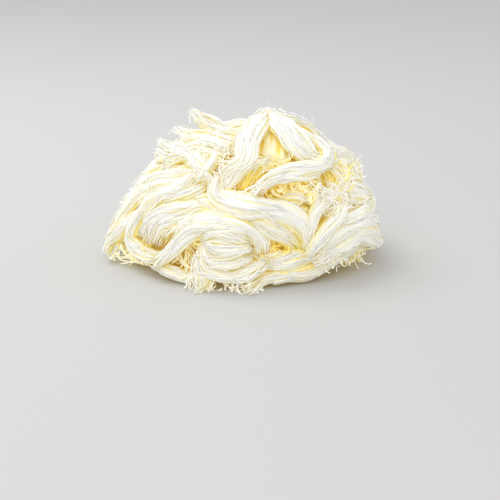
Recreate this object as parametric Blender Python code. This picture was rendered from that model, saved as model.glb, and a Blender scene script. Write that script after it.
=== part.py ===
"""A loose heap of string cheese, pulled apart into hanks of fibre and piled up.

The cheese is one solid, out to the uneven outline of its hanks: a mound in the middle, hanks laid over
it and round its foot, and tufts that stand out of the top. Everything is worked out in millimetres and
written in metres. +Z is up, -Y is the front, and the origin lies on the table under the middle.
"""

import math
from dataclasses import dataclass

import bmesh
import bpy
import numpy as np
from mathutils import Vector

MM = 0.001

# The mound that the hanks are measured from: half its width and depth at the table, its height, how boxy
# its side is (2 would be an ellipse), and how far its top leans to the right and to the back. The solid
# mound swells a little past it, so that the hanks sink into it, and is undercut below a few degrees up.
MOUND_HALF_WIDTH = 66.0
MOUND_HALF_DEPTH = 57.0
MOUND_HEIGHT = 74.0
MOUND_BOXINESS = 2.4
MOUND_LEAN = (8.0, 3.0)
MOUND_SWELL = 3.0
UNDERCUT_UP = 3.0
UNDERCUT_SHARE = 0.88
UNDERCUT_DEPTH = 4.0
MOUND_RINGS = 24
MOUND_SECTORS = 48

# The back, from the right side round to the left, in degrees round from the front. Its hanks are arcs
# (degrees up of the lowest and highest, the reach of an arc in millimetres, its lean from the level and
# its whole turn in degrees, and millimetres off the mound low down and high up). A few lie level round
# the foot first, and a few more cross the crown.
BACK_SEED = 7
BACK_FROM, BACK_TO = 84.0, 276.0
BACK_HANKS = 29
BACK_UP = (5.0, 66.0)
FOOT_HANKS = 5
FOOT_UP = 3.5
FOOT_REACH = 66.0
FOOT_TURN = 24.0
BACK_REACH = (62.0, 104.0)
BACK_LEAN = 62.0
BACK_TURN = 120.0
BACK_OFF = (7.5, 3.0)
SIDE_MM_PER_DEGREE = 1.15
GOLDEN_SHARE = 0.618
CROWN_CROSSINGS = 4
CROSSING_FROM, CROSSING_TO = 70.0, 172.0

# How a hank is swept: the step along it, the sides of its section, and how it thins at its two ends.
HANK_STEP = 3.5
HANK_SIDES = 12
ROOT_TAPER = 0.55
GATHERED_TAPER = 0.35
TIP_TAPER = 0.52
TAPER_SPAN = 0.22
TABLE_ROUNDING = 12.0

# The one skin over everything.
SKIN_VOXEL = 2.0
SKIN_TRIANGLES = 8600
SKIN_SMOOTHING = 2

# The middle of the hanks' own box, which is moved to the origin.
HEAP_MIDDLE = (0.2, -4.5)

CHEESE_COLOUR = (0.90, 0.86, 0.72, 1.0)
CHEESE_ROUGHNESS = 0.5


@dataclass(frozen=True)
class Hank:
    """A hank of cheese fibre that lies over the mound through a few stations.

    A station is (degrees round from the front, degrees up the side, millimetres off the mound).
    Degrees round grow to the right. The width and thickness are the hank's own, in millimetres, and the
    root is the share of them that it starts with.
    """

    name: str
    width: float
    thickness: float
    stations: tuple
    root: float = ROOT_TAPER


# Laid from the table up: the later ones lie over the earlier ones.
SHOWN_HANKS = (
    # Round the left foot.
    Hank("far_left_upper", 18, 9, ((-62, 36, 5), (-73, 26, 8), (-79, 15, 10), (-79, 6, 13))),
    Hank("far_left_lower", 9, 8, ((-56, 26, 6), (-66, 16, 9), (-73, 9, 12), (-76, 5, 15), (-75, 2, 16))),
    Hank(
        "left_loop_outer", 12, 9,
        ((-29, 44, 10), (-42, 33, 10), (-54, 25, 10), (-61, 15, 10), (-62, 9, 9), (-51, 6, 8), (-39, 6, 8)),
    ),
    Hank("left_loop_inner", 11, 8, ((-23, 38, 9), (-36, 32, 9), (-49, 26, 9), (-54, 18, 9))),
    Hank("inner_stub", 13, 9, ((-22, 29, 8), (-35, 25, 10), (-46, 20, 11), (-51, 12, 10))),
    Hank("second_stub", 12, 9, ((-17, 27, 7), (-30, 23, 9), (-39, 19, 10), (-43, 12, 9))),
    Hank("second_end", 14, 8, ((-1, 24, 8), (-15, 24, 10), (-27, 20, 11), (-34, 12, 11))),
    # The front, with its big arch over a coil that fans out of one gathered end.
    Hank(
        "big_arch", 13, 9,
        ((9, 9, 8), (6, 16, 10), (-3, 21, 12), (-14, 22, 13), (-24, 18, 12), (-32, 11, 11), (-40, 4, 11)),
    ),
    Hank("under_edge", 9, 7, ((-42, 4, 10), (-28, 2, 9), (-12, 1, 10))),
    Hank("coil_top", 11, 8, ((-18, 14, 14), (-13, 17, 14), (-6, 17, 14), (1, 15, 11)), GATHERED_TAPER),
    Hank("coil_middle", 11, 8, ((-18, 14, 15), (-12, 13, 16), (-4, 13, 15), (3, 13, 11)), GATHERED_TAPER),
    Hank("coil_lower", 11, 8, ((-18, 14, 14), (-14, 9, 15), (-7, 8, 15), (3, 10, 12)), GATHERED_TAPER),
    Hank(
        "coil_outer", 10, 7, ((-18, 12, 14), (-16, 6, 15), (-7, 4, 16), (3, 6, 13), (10, 8, 10)),
        GATHERED_TAPER,
    ),
    Hank("coil_fan", 12, 8, ((-18, 12, 13), (-17, 6, 13), (-13, 0, 18)), GATHERED_TAPER),
    # The right foot and the skirt that spreads from it.
    Hank(
        "front_right_edge", 11, 8,
        ((70, 10, 12), (47, 7, 11), (34, 4, 10), (20, 3, 10), (8, 2, 11), (1, 0, 18)),
    ),
    Hank("front_right_middle", 12, 8, ((58, 13, 10), (37, 10, 10), (22, 8, 10), (9, 7, 10))),
    Hank("skirt", 25, 8, ((82, 8, 10), (73, 11, 14), (59, 15, 15), (42, 14, 13), (29, 9, 12))),
    Hank("skirt_ridge", 9, 8, ((51, 26, 12), (43, 21, 15), (35, 18, 16), (30, 13, 15), (28, 8, 12))),
    Hank("ridge_inner", 9, 8, ((40, 30, 10), (31, 23, 13), (29, 17, 13), (28, 11, 11))),
    Hank("right_loop", 8, 7, ((74, 28, 10), (81, 22, 12), (69, 19, 14), (56, 18, 14))),
    # The ropes across the middle.
    Hank(
        "middle_rope_upper", 15, 10,
        ((-20, 42, 11), (-16, 33, 11), (-4, 30, 12), (8, 28, 12), (19, 25, 12), (27, 19, 12), (29, 12, 10)),
    ),
    Hank(
        "middle_rope_lower", 15, 9,
        ((-42, 25, 7), (-22, 29, 8), (-3, 26, 9), (9, 23, 9), (20, 18, 9), (27, 11, 8)),
    ),
    Hank("middle_band", 12, 8, ((-6, 22, 8), (7, 20, 9), (17, 17, 8), (24, 11, 7))),
    # The crown: two sheets that part at the peak, and a bow from the right one back to the left.
    Hank(
        "bow_rim", 12, 9,
        ((46, 66, 9), (56, 56, 11), (54, 48, 12), (42, 43, 13), (24, 42, 14), (9, 39, 14), (1, 33, 12)),
    ),
    Hank("bow_sheet", 20, 8, ((41, 81, 12), (36, 66, 12), (39, 54, 12), (45, 47, 12)), GATHERED_TAPER),
    Hank("bow_lining", 16, 8, ((43, 80, 10), (34, 64, 12), (34, 53, 12), (38, 46, 11)), GATHERED_TAPER),
    Hank(
        "crown_left", 15, 9,
        ((36, 83, 12), (4, 70, 13), (-4, 58, 13), (-5, 49, 12), (-14, 41, 12)), GATHERED_TAPER,
    ),
    Hank("crown_front", 15, 8, ((38, 81, 11), (1, 66, 11), (-6, 58, 10), (-9, 50, 9)), GATHERED_TAPER),
    Hank(
        "pocket_sheet", 22, 6, ((73, 83, 8), (25, 68, 7), (18, 58, 6), (13, 49, 6), (11, 44, 6)),
        GATHERED_TAPER,
    ),
    Hank("crown_back", 16, 8, ((38, 83, 12), (120, 80, 9), (158, 66, 7), (172, 50, 6)), GATHERED_TAPER),
    Hank("crown_back_side", 14, 8, ((40, 82, 10), (96, 72, 8), (118, 58, 6), (122, 44, 5)), GATHERED_TAPER),
    Hank("pocket_rim", 12, 8, ((12, 50, 8), (2, 49, 10), (-7, 47, 11), (-12, 41, 11), (-15, 34, 10))),
    Hank("hollow_wall", 12, 7, ((10, 48, 7), (3, 46, 8), (-4, 41, 7), (-6, 35, 6))),
    Hank("hollow_lobe", 9, 7, ((17, 30, 5), (22, 32, 8), (29, 29, 7))),
    Hank("right_shoulder", 18, 9, ((60, 51, 6), (76, 47, 8), (84, 39, 9), (76, 30, 8))),
    Hank("right_shoulder_inner", 14, 8, ((57, 46, 6), (62, 40, 7), (62, 32, 8), (64, 25, 7))),
    Hank("shoulder_streak", 9, 7, ((53, 43, 4), (55, 38, 5), (56, 31, 6), (58, 25, 6))),
    Hank("right_knob", 10, 9, ((58, 31, 8), (66, 28, 11), (75, 24, 12))),
    # The tufts that stand out at the top left, and the slope below them.
    Hank("tuft_peak", 14, 9, ((10, 70, 3), (-40, 72, 5), (-72, 69, 10), (-82, 64, 19))),
    Hank("tuft_upper", 16, 9, ((-14, 63, 5), (-44, 62, 7), (-66, 59, 9), (-82, 55, 15))),
    Hank("tuft_middle", 15, 9, ((-18, 57, 6), (-44, 56, 8), (-64, 52, 9), (-81, 47, 15))),
    Hank("tuft_lower", 14, 8, ((-20, 51, 5), (-40, 51, 8), (-60, 48, 9), (-80, 45, 14))),
    Hank("tuft_strand", 8, 7, ((-33, 57, 8), (-26, 50, 10), (-27, 43, 11), (-31, 37, 10))),
    Hank("shoulder_loop", 10, 8, ((-60, 38, 9), (-58, 45, 10), (-45, 49, 11), (-30, 44, 11), (-22, 38, 10))),
    Hank("left_slope", 17, 8, ((-28, 42, 7), (-56, 38, 8), (-76, 29, 8), (-84, 20, 9))),
)


def unit(vectors: np.ndarray) -> np.ndarray:
    """The vectors made one long."""
    return vectors / np.linalg.norm(vectors, axis=-1, keepdims=True)


def mound_gradient(points: np.ndarray) -> tuple:
    """How far past the mound's side each point is, as the mound's own formula has it, and its gradient."""
    height = np.clip(points[:, 2] / MOUND_HEIGHT, 1e-4, None)
    x = points[:, 0] - MOUND_LEAN[0] * height
    y = points[:, 1] - MOUND_LEAN[1] * height
    past = (x / MOUND_HALF_WIDTH) ** 2 + (y / MOUND_HALF_DEPTH) ** 2 + height**MOUND_BOXINESS - 1
    gradient = np.stack(
        [
            2 * x / MOUND_HALF_WIDTH**2,
            2 * y / MOUND_HALF_DEPTH**2,
            MOUND_BOXINESS * height ** (MOUND_BOXINESS - 1) / MOUND_HEIGHT,
        ],
        axis=-1,
    )
    return past, gradient


def mound_point(around: float, up: float, off: float) -> np.ndarray:
    """The point that is so many degrees round and up the mound, and so many millimetres off it."""
    turn, climb = math.radians(around), math.radians(up)
    height = MOUND_HEIGHT * math.sin(climb) ** (2 / MOUND_BOXINESS)
    share = height / MOUND_HEIGHT
    point = np.array(
        [
            MOUND_HALF_WIDTH * math.cos(climb) * math.sin(turn) + MOUND_LEAN[0] * share,
            -MOUND_HALF_DEPTH * math.cos(climb) * math.cos(turn) + MOUND_LEAN[1] * share,
            height,
        ]
    )
    _, gradient = mound_gradient(point[None])
    return point + off * unit(gradient)[0]


def through(stations: np.ndarray, step: float) -> np.ndarray:
    """Points every step or so along a smooth curve through the stations."""
    padded = np.vstack([2 * stations[0] - stations[1], stations, 2 * stations[-1] - stations[-2]])
    curve = []
    for before, start, end, after in zip(padded, padded[1:], padded[2:], padded[3:]):
        count = max(2, round(np.linalg.norm(end[:3] - start[:3]) / step))
        t = np.linspace(0, 1, count, endpoint=False)[:, None]
        curve.append(
            start
            + t * (end - before) / 2
            + t**2 * (before - 2.5 * start + 2 * end - after / 2)
            + t**3 * (1.5 * (start - end) + (after - before) / 2)
        )
    return np.vstack([*curve, stations[-1:]])


def hank_line(hank: Hank, step: float) -> tuple:
    """The middle line of a hank, and the direction away from the mound at each of its points."""
    stations = np.array([[*mound_point(*station), station[2]] for station in hank.stations])
    curve = through(stations, step)
    line, off = curve[:, :3], curve[:, 3:]
    for _ in range(4):
        past, gradient = mound_gradient(line)
        steepness = np.linalg.norm(gradient, axis=1)
        line = line + unit(gradient) * (off - (past / steepness)[:, None]) * 0.7
    _, gradient = mound_gradient(line)
    outward = unit(gradient)
    outward[:, 2] += np.exp(-np.clip(line[:, 2], 0, None) / TABLE_ROUNDING)
    lowest = hank.thickness * 0.45
    line[:, 2] = np.maximum(line[:, 2], lowest)
    return line, unit(outward)


def add_hank(mesh: bmesh.types.BMesh, hank: Hank) -> None:
    """Sweeps a hank's flattened section along its line, thinner towards both ends."""
    line, outward = hank_line(hank, HANK_STEP)
    along = unit(np.gradient(line, axis=0))
    across = unit(np.cross(along, outward))
    outward = np.cross(across, along)
    share = np.linspace(0, 1, len(line))
    root = hank.root + (1 - hank.root) * np.clip(share / TAPER_SPAN, 0, 1) ** 0.5
    tip = TIP_TAPER + (1 - TIP_TAPER) * np.clip((1 - share) / TAPER_SPAN, 0, 1) ** 0.5
    size = root * tip
    rings = []
    for place, side, out, scale in zip(line, across, outward, size):
        ring = []
        for corner in range(HANK_SIDES):
            angle = 2 * math.pi * corner / HANK_SIDES
            point = (
                place
                + side * math.cos(angle) * hank.width / 2 * scale
                + out * math.sin(angle) * hank.thickness / 2 * scale
            )
            ring.append(mesh.verts.new(point * MM))
        rings.append(ring)
    for lower, upper in zip(rings, rings[1:]):
        for corner in range(HANK_SIDES):
            after = (corner + 1) % HANK_SIDES
            mesh.faces.new((lower[corner], lower[after], upper[after], upper[corner]))
    mesh.faces.new(list(reversed(rings[0])))
    mesh.faces.new(rings[-1])


def add_mound(mesh: bmesh.types.BMesh) -> None:
    """The mound under the hanks, with an undercut foot that reaches below the table and is cut off later."""
    rings = []
    for level in range(MOUND_RINGS):
        climb = UNDERCUT_UP + (89.0 - UNDERCUT_UP) * level / (MOUND_RINGS - 1)
        around = [360.0 * sector / MOUND_SECTORS for sector in range(MOUND_SECTORS)]
        rings.append([mesh.verts.new(mound_point(a, climb, MOUND_SWELL) * MM) for a in around])
    shrink = Vector((UNDERCUT_SHARE, UNDERCUT_SHARE, 0))
    foot = [mesh.verts.new(v.co * shrink - Vector((0, 0, UNDERCUT_DEPTH * MM))) for v in rings[0]]
    rings.insert(0, foot)
    for lower, upper in zip(rings, rings[1:]):
        for sector in range(MOUND_SECTORS):
            after = (sector + 1) % MOUND_SECTORS
            mesh.faces.new((lower[sector], lower[after], upper[after], upper[sector]))
    mesh.faces.new(list(reversed(rings[0])))
    mesh.faces.new(rings[-1])


def back_arc(around: float, up: float, lean: float, turn: float, reach: float) -> tuple:
    """The stations of an arc over the mound, from its middle's angles, its lean, turn and reach."""
    stations = []
    for share, rise in ((-0.5, 0.15), (-0.25, 0.8), (0.0, 1.0), (0.25, 0.8), (0.5, 0.15)):
        bend = turn * share
        along = reach * math.sin(bend) / turn
        aside = reach * (1 - math.cos(bend)) / turn
        climb = up + (along * math.sin(lean) + aside * math.cos(lean)) / SIDE_MM_PER_DEGREE
        climb = min(78.0, max(2.0, climb))
        level = (along * math.cos(lean) - aside * math.sin(lean)) / SIDE_MM_PER_DEGREE
        high = min(1.0, climb / BACK_UP[1])
        off = rise * (BACK_OFF[0] + (BACK_OFF[1] - BACK_OFF[0]) * high)
        stations.append((around + level / max(0.4, math.cos(math.radians(climb))), climb, off))
    return tuple(stations)


def back_hanks() -> list:
    """The hanks of the back and crown: arcs from the foot up, then crossings over the top."""
    chance = np.random.default_rng(BACK_SEED)
    hanks = []
    for index in range(FOOT_HANKS):
        around = BACK_FROM + (BACK_TO - BACK_FROM) * (index + 0.5) / FOOT_HANKS
        turn = math.radians(FOOT_TURN) * (-1) ** index
        stations = back_arc(around, FOOT_UP + 2 * (index % 2), 0.0, turn, FOOT_REACH)
        hanks.append(Hank(f"foot_{index + 1}", chance.uniform(12, 16), chance.uniform(8, 9), stations))
    for index in range(BACK_HANKS):
        around = BACK_FROM + (BACK_TO - BACK_FROM) * ((index + 0.5) * GOLDEN_SHARE % 1)
        up = BACK_UP[0] + (BACK_UP[1] - BACK_UP[0]) * (index + 0.5) / BACK_HANKS
        lean = math.radians(chance.uniform(-BACK_LEAN, BACK_LEAN) * min(1, up / 20) + 180 * (index % 2))
        turn = math.radians(chance.uniform(20, BACK_TURN) * chance.choice((-1, 1)))
        stations = back_arc(around, up, lean, turn, chance.uniform(*BACK_REACH))
        width, thickness = chance.uniform(12, 20), chance.uniform(8, 10)
        hanks.append(Hank(f"back_{index + 1}", width, thickness, stations))
    for index in range(CROWN_CROSSINGS):
        start = CROSSING_FROM + (CROSSING_TO - CROSSING_FROM) * index / (CROWN_CROSSINGS - 1)
        bend = chance.uniform(-25, 25)
        stations = (
            (start, 52, 0),
            (start + bend, 76, 1.5),
            (start + 180 - bend, 80, 2),
            (start + 165, 56, 0),
        )
        width, thickness = chance.uniform(16, 22), chance.uniform(8, 10)
        hanks.append(Hank(f"crown_crossing_{index + 1}", width, thickness, stations))
    return hanks


def largest_body(mesh: bpy.types.Mesh) -> None:
    """Keeps the largest connected body of the mesh, which drops sealed hollows and crumbs."""
    work = bmesh.new()
    work.from_mesh(mesh)
    unseen, bodies = set(work.verts), []
    while unseen:
        todo = [unseen.pop()]
        body = list(todo)
        while todo:
            for edge in todo.pop().link_edges:
                for vert in edge.verts:
                    if vert in unseen:
                        unseen.remove(vert)
                        body.append(vert)
                        todo.append(vert)
        bodies.append(body)
    bodies.sort(key=len)
    dropped = [vert for body in bodies[:-1] for vert in body]
    bmesh.ops.delete(work, geom=dropped, context="VERTS")
    work.to_mesh(mesh)
    work.free()


def settle(obj: bpy.types.Object) -> None:
    """Makes the object's modifiers part of its mesh."""
    bpy.context.view_layer.update()
    graph = bpy.context.evaluated_depsgraph_get()
    made = bpy.data.meshes.new_from_object(obj.evaluated_get(graph))
    obj.modifiers.clear()
    obj.data = made


def cheese_material() -> bpy.types.Material:
    """Pale cream cheese with a soft, slightly moist surface."""
    material = bpy.data.materials.new("string_cheese")
    material.use_nodes = True
    shader = material.node_tree.nodes["Principled BSDF"]
    shader.inputs["Base Color"].default_value = CHEESE_COLOUR
    shader.inputs["Roughness"].default_value = CHEESE_ROUGHNESS
    return material


def table_cutter() -> bpy.types.Object:
    """A box whose lower face is the table: what the heap shares with it stays."""
    work = bmesh.new()
    bmesh.ops.create_cube(work, size=1.0)
    mesh = bpy.data.meshes.new("above_table")
    work.to_mesh(mesh)
    work.free()
    cutter = bpy.data.objects.new("above_table", mesh)
    cutter.location = (0, 0, 0.5)
    cutter.hide_render = True
    cutter.display_type = "WIRE"
    bpy.context.scene.collection.objects.link(cutter)
    return cutter


def string_cheese() -> bpy.types.Object:
    """The whole heap under one skin, flat where it lies on the table."""
    work = bmesh.new()
    add_mound(work)
    for hank in [*SHOWN_HANKS, *back_hanks()]:
        add_hank(work, hank)
    bmesh.ops.translate(work, verts=work.verts, vec=Vector((-HEAP_MIDDLE[0], -HEAP_MIDDLE[1], 0)) * MM)
    mesh = bpy.data.meshes.new("string_cheese")
    work.to_mesh(mesh)
    work.free()
    cheese = bpy.data.objects.new("string_cheese", mesh)
    bpy.context.scene.collection.objects.link(cheese)

    skin = cheese.modifiers.new("skin", "REMESH")
    skin.mode = "VOXEL"
    skin.voxel_size = SKIN_VOXEL * MM
    soften = cheese.modifiers.new("soften", "SMOOTH")
    soften.iterations = SKIN_SMOOTHING
    settle(cheese)
    largest_body(cheese.data)

    thin = cheese.modifiers.new("thin", "DECIMATE")
    thin.ratio = SKIN_TRIANGLES / (2 * len(cheese.data.polygons))
    settle(cheese)
    flat = cheese.modifiers.new("flat_foot", "BOOLEAN")
    flat.operation = "INTERSECT"
    flat.object = table_cutter()
    cheese.data.materials.append(cheese_material())
    cheese.data.shade_smooth()
    return cheese


def main() -> None:
    """Clears the scene and builds the heap."""
    for obj in list(bpy.data.objects):
        bpy.data.objects.remove(obj)
    string_cheese()


if __name__ == "__main__":
    main()
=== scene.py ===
"""Dresses the heap of pulled string cheese with the fibres it is made of.

The cheese lies over a mound in hanks. A hank is a bundle of locks, and a lock a bundle of fibres about
three quarters of a millimetre wide. The routes of the hanks are the ones that the solid model was built
from, within 2 mm, with an under layer of thin short hanks, curls, loose fibres and hairs added. Everything
is worked out in millimetres and written in metres. +Z is up and -Y is the front.
"""

import logging
import math
from collections.abc import Sequence
from dataclasses import dataclass, field
from enum import Enum

import bpy
import numpy as np
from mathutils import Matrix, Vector
from mathutils.bvhtree import BVHTree


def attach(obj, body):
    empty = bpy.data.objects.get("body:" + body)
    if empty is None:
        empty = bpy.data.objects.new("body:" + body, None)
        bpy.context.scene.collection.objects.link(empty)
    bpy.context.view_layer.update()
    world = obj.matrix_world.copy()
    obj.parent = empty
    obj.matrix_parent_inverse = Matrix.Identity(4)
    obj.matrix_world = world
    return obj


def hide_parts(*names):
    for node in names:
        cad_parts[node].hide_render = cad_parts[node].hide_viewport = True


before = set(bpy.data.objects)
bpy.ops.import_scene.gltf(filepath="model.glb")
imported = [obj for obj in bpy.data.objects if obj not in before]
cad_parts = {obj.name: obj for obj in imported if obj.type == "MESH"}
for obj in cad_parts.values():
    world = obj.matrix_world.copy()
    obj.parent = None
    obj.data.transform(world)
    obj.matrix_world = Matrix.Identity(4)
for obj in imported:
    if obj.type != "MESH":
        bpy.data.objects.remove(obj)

MM = 0.001
NODE = "string_cheese"
UNDER_LAYER = "under_layer"
GOLDEN_ANGLE = math.radians(137.508)
GOLDEN_SHARE = 0.618
UP = np.array([0.0, 0.0, 1.0])
# How far the underside of a strand stays off the floor, and the lowest that any of its points lies, in
# millimetres.
FLOOR_GAP = 0.05
LOWEST = 0.04
# How high the middle of a hank lies over the table at the least, as a share of its thickness.
PRESSED = 0.45
# How near the outermost locks lie to the edge of their hank, as a share of its section, and how far inside
# that edge they stay, across and outward, in millimetres.
OUTERMOST = 0.86
EDGE_ACROSS, EDGE_OUTWARD = 1.6, 1.1
# A tube with more sides than this has its shelter measured all round it, and a finer one along its middle.
FINE_SIDES = 6
# How far off a point its shelter is measured, in millimetres.
SHELTER_OFF = 0.5
# How far round from the way out the flanks of a tube start, as a cosine; the flanks get golden painted shade.
FLANKS_FROM = 0.45
# The middle of the streaks' values, below which the furrows get golden painted shade, and how much a strand's
# own tone adds to its shade.
STREAK_MIDDLE = 0.47
TONE_SHARE = 0.22

Triple = tuple[float, float, float]
Station = Triple
Colour = tuple[float, float, float, float]
Value = bpy.types.NodeSocket | float
Tint = bpy.types.NodeSocket | Colour

log = logging.getLogger("string_cheese")


def unit(vectors: np.ndarray) -> np.ndarray:
    """Makes vectors one long.

    Args:
        vectors: the vectors, along the last axis.

    Returns:
        The same directions with length one.
    """
    return vectors / np.maximum(np.linalg.norm(vectors, axis=-1, keepdims=True), 1e-9)


def ease(share: np.ndarray) -> np.ndarray:
    """Eases a share in and out.

    Args:
        share: values, of which those outside 0 to 1 are held there.

    Returns:
        A smooth step from 0 to 1.
    """
    held = np.clip(share, 0, 1)
    return held * held * (3 - 2 * held)


def lift_off_floor(points: np.ndarray, radii: np.ndarray) -> None:
    """Lifts strands where they would go through the floor.

    Args:
        points: the middle lines, in millimetres, which are changed.
        radii: half the thickness at those points.
    """
    points[..., 2] = np.maximum(points[..., 2], radii + FLOOR_GAP)


def through(stations: np.ndarray, step: float) -> np.ndarray:
    """Follows a smooth curve through some stations.

    Args:
        stations: the points to pass through, with anything else that varies along in further columns.
        step: the distance between the points of the curve, about.

    Returns:
        The points of the curve, with the further columns.
    """
    padded = np.vstack([2 * stations[0] - stations[1], stations, 2 * stations[-1] - stations[-2]])
    curve = []
    for before, start, end, after in zip(padded, padded[1:], padded[2:], padded[3:]):
        count = max(2, round(np.linalg.norm(end[:3] - start[:3]) / step))
        t = np.linspace(0, 1, count, endpoint=False)[:, None]
        curve.append(
            start
            + t * (end - before) / 2
            + t**2 * (before - 2.5 * start + 2 * end - after / 2)
            + t**3 * (1.5 * (start - end) + (after - before) / 2)
        )
    return np.vstack([*curve, stations[-1:]])


@dataclass(frozen=True)
class Mound:
    """The smooth mound that the hanks are measured from, in millimetres.

    Attributes:
        half_width: half its width at the table.
        half_depth: half its depth at the table.
        height: its height.
        boxiness: the power of its side's curve, where 2 is an ellipse.
        lean: how far its top stands to the right and to the back.
        middle: the middle of the whole heap, which the model's origin is under.
    """

    half_width: float = 66.0
    half_depth: float = 57.0
    height: float = 74.0
    boxiness: float = 2.4
    lean: tuple[float, float] = (8.0, 3.0)
    middle: tuple[float, float] = (0.2, -4.5)

    def gradient(self, points: np.ndarray) -> tuple[np.ndarray, np.ndarray]:
        """Measures points against the mound's side.

        Args:
            points: the points, along the last axis.

        Returns:
            How far past the side each is, as the mound's own formula has it, and the formula's gradient.
        """
        share = np.clip(points[..., 2] / self.height, 1e-4, None)
        x = points[..., 0] - self.lean[0] * share
        y = points[..., 1] - self.lean[1] * share
        past = (x / self.half_width) ** 2 + (y / self.half_depth) ** 2 + share**self.boxiness - 1
        steepness = np.stack(
            [
                2 * x / self.half_width**2,
                2 * y / self.half_depth**2,
                self.boxiness * share ** (self.boxiness - 1) / self.height,
            ],
            axis=-1,
        )
        return past, steepness

    def outward(self, points: np.ndarray) -> np.ndarray:
        """Gives the directions away from the mound.

        Args:
            points: the points, along the last axis.

        Returns:
            One direction for each point.
        """
        return unit(self.gradient(points)[1])

    def side(self, around: np.ndarray, up: np.ndarray) -> np.ndarray:
        """Finds places on the mound's side.

        Args:
            around: the angles round from the front, more to the right, in radians.
            up: the angles up the side, in radians.

        Returns:
            The places, along a new last axis.
        """
        share = np.sin(up) ** (2 / self.boxiness)
        return np.stack(
            [
                self.half_width * np.cos(up) * np.sin(around) + self.lean[0] * share,
                -self.half_depth * np.cos(up) * np.cos(around) + self.lean[1] * share,
                self.height * share,
            ],
            axis=-1,
        )

    def point(self, around: float, up: float, off: float) -> np.ndarray:
        """Finds a point by its angles.

        Args:
            around: degrees round from the front, more to the right.
            up: degrees up the side.
            off: millimetres off the side.

        Returns:
            The point.
        """
        place = self.side(np.radians(around), np.radians(up))
        return place + off * self.outward(place)

    def to_frame(self, points: np.ndarray) -> np.ndarray:
        """Moves points from the mound's own place into the model's frame, in metres."""
        return (points - np.array([*self.middle, 0.0])) * MM


@dataclass(frozen=True)
class Course:
    """The route of a hank, with the directions at each of its points.

    Attributes:
        line: the middle line.
        along: the directions along it.
        across: the directions across it, in the heap's surface.
        outward: the directions away from the mound.
        length: the line's length.
        reach: the share of the length at each point.
    """

    line: np.ndarray
    along: np.ndarray
    across: np.ndarray
    outward: np.ndarray
    length: float
    reach: np.ndarray

    def at(self, share: np.ndarray) -> tuple[np.ndarray, np.ndarray, np.ndarray, np.ndarray]:
        """Reads the route off at some shares of its length.

        Args:
            share: the shares, where those past 0 and 1 run on straight.

        Returns:
            The places and the directions along, across and outward.
        """
        held = np.clip(share, 0, 1)
        place, along, across, outward = (
            np.stack([np.interp(held, self.reach, rows[:, axis]) for axis in range(3)], axis=-1)
            for rows in (self.line, self.along, self.across, self.outward)
        )
        place = place + along * ((share - held) * self.length)[..., None]
        return place, unit(along), unit(across), unit(outward)


@dataclass
class Strands:
    """Strands that all have the same number of points.

    Attributes:
        points: the middle lines, as (strands, points, 3), in millimetres.
        outward: the directions away from the heap at those points.
        facing: the directions that the thin side of a section faces at those points.
        radii: half the thickness at those points.
        flatness: how many times wider than thick a section is, once for all or at each point.
        tone: each strand's own shade, from -1 to 1.
        painted_shade_bias: how much more golden painted shade each strand gets than its place gives it.
        ridge: how high the ridges along a strand are, in millimetres.
    """

    points: np.ndarray
    outward: np.ndarray
    facing: np.ndarray
    radii: np.ndarray
    flatness: float | np.ndarray
    tone: np.ndarray
    painted_shade_bias: np.ndarray
    ridge: float = 0.0

    def volumes(self) -> np.ndarray:
        """Gives the volume of cheese that each point stands for, in cubic millimetres."""
        steps = np.linalg.norm(np.gradient(self.points, axis=1), axis=-1)
        return math.pi * self.radii**2 * self.flatness * steps

    def relief(self, angle: np.ndarray, travel: np.ndarray, chance: np.random.Generator) -> np.ndarray:
        """Draws the ridges along the strands.

        Args:
            angle: the angles round the sections, as (strands, 1, sides).
            travel: how far along its strand each point is, in millimetres, as (strands, points, 1).
            chance: the source of random draws.

        Returns:
            The height of the ridges, as (strands, points, sides), which is 0 for strands without any.
        """
        height = np.zeros(np.broadcast_shapes(angle.shape, travel.shape))
        if not self.ridge:
            return height
        for waves in (7, 11, 16, 22):
            phase = chance.uniform(0, 2 * math.pi, (3, len(angle), 1, 1))
            bend = 1.3 * np.sin(travel / 23 + phase[1]) + 0.7 * np.sin(travel / 9 + phase[2])
            height = height + np.sin(waves * angle + phase[0] + bend) * (11 / waves) ** 0.5
        return height * self.ridge / 2


@dataclass(frozen=True)
class EndShape:
    """How the fibres of a hank behave at one of its ends.

    Attributes:
        spread: how many times its own width the hank opens to.
        ragged: the share of the length over which its fibres stop short.
        stray: how far locks and fibres leave their own course, in millimetres.
        clump: how far the fibres of a lock close up, from 0 to 1.
        droop: how far the end sinks, in millimetres.
        knob: how many times thicker the fibres' last points are.
    """

    spread: float
    ragged: float
    stray: float
    clump: float
    droop: float
    knob: float


class Ending(Enum):
    """The kinds of end that a hank has."""

    TUCKED = EndShape(spread=0.7, ragged=0.06, stray=1.0, clump=0.2, droop=0.0, knob=1.0)
    GATHERED = EndShape(spread=0.3, ragged=0.04, stray=0.4, clump=0.5, droop=0.0, knob=1.0)
    FRAYED = EndShape(spread=1.25, ragged=0.22, stray=4.0, clump=0.2, droop=2.0, knob=1.3)
    BRUSH = EndShape(spread=1.15, ragged=0.14, stray=1.8, clump=0.0, droop=1.0, knob=1.1)
    WISPY = EndShape(spread=0.35, ragged=0.5, stray=1.7, clump=0.7, droop=-1.0, knob=0.55)
    KNOBBED = EndShape(spread=0.8, ragged=0.08, stray=1.6, clump=0.0, droop=0.5, knob=1.8)


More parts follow.
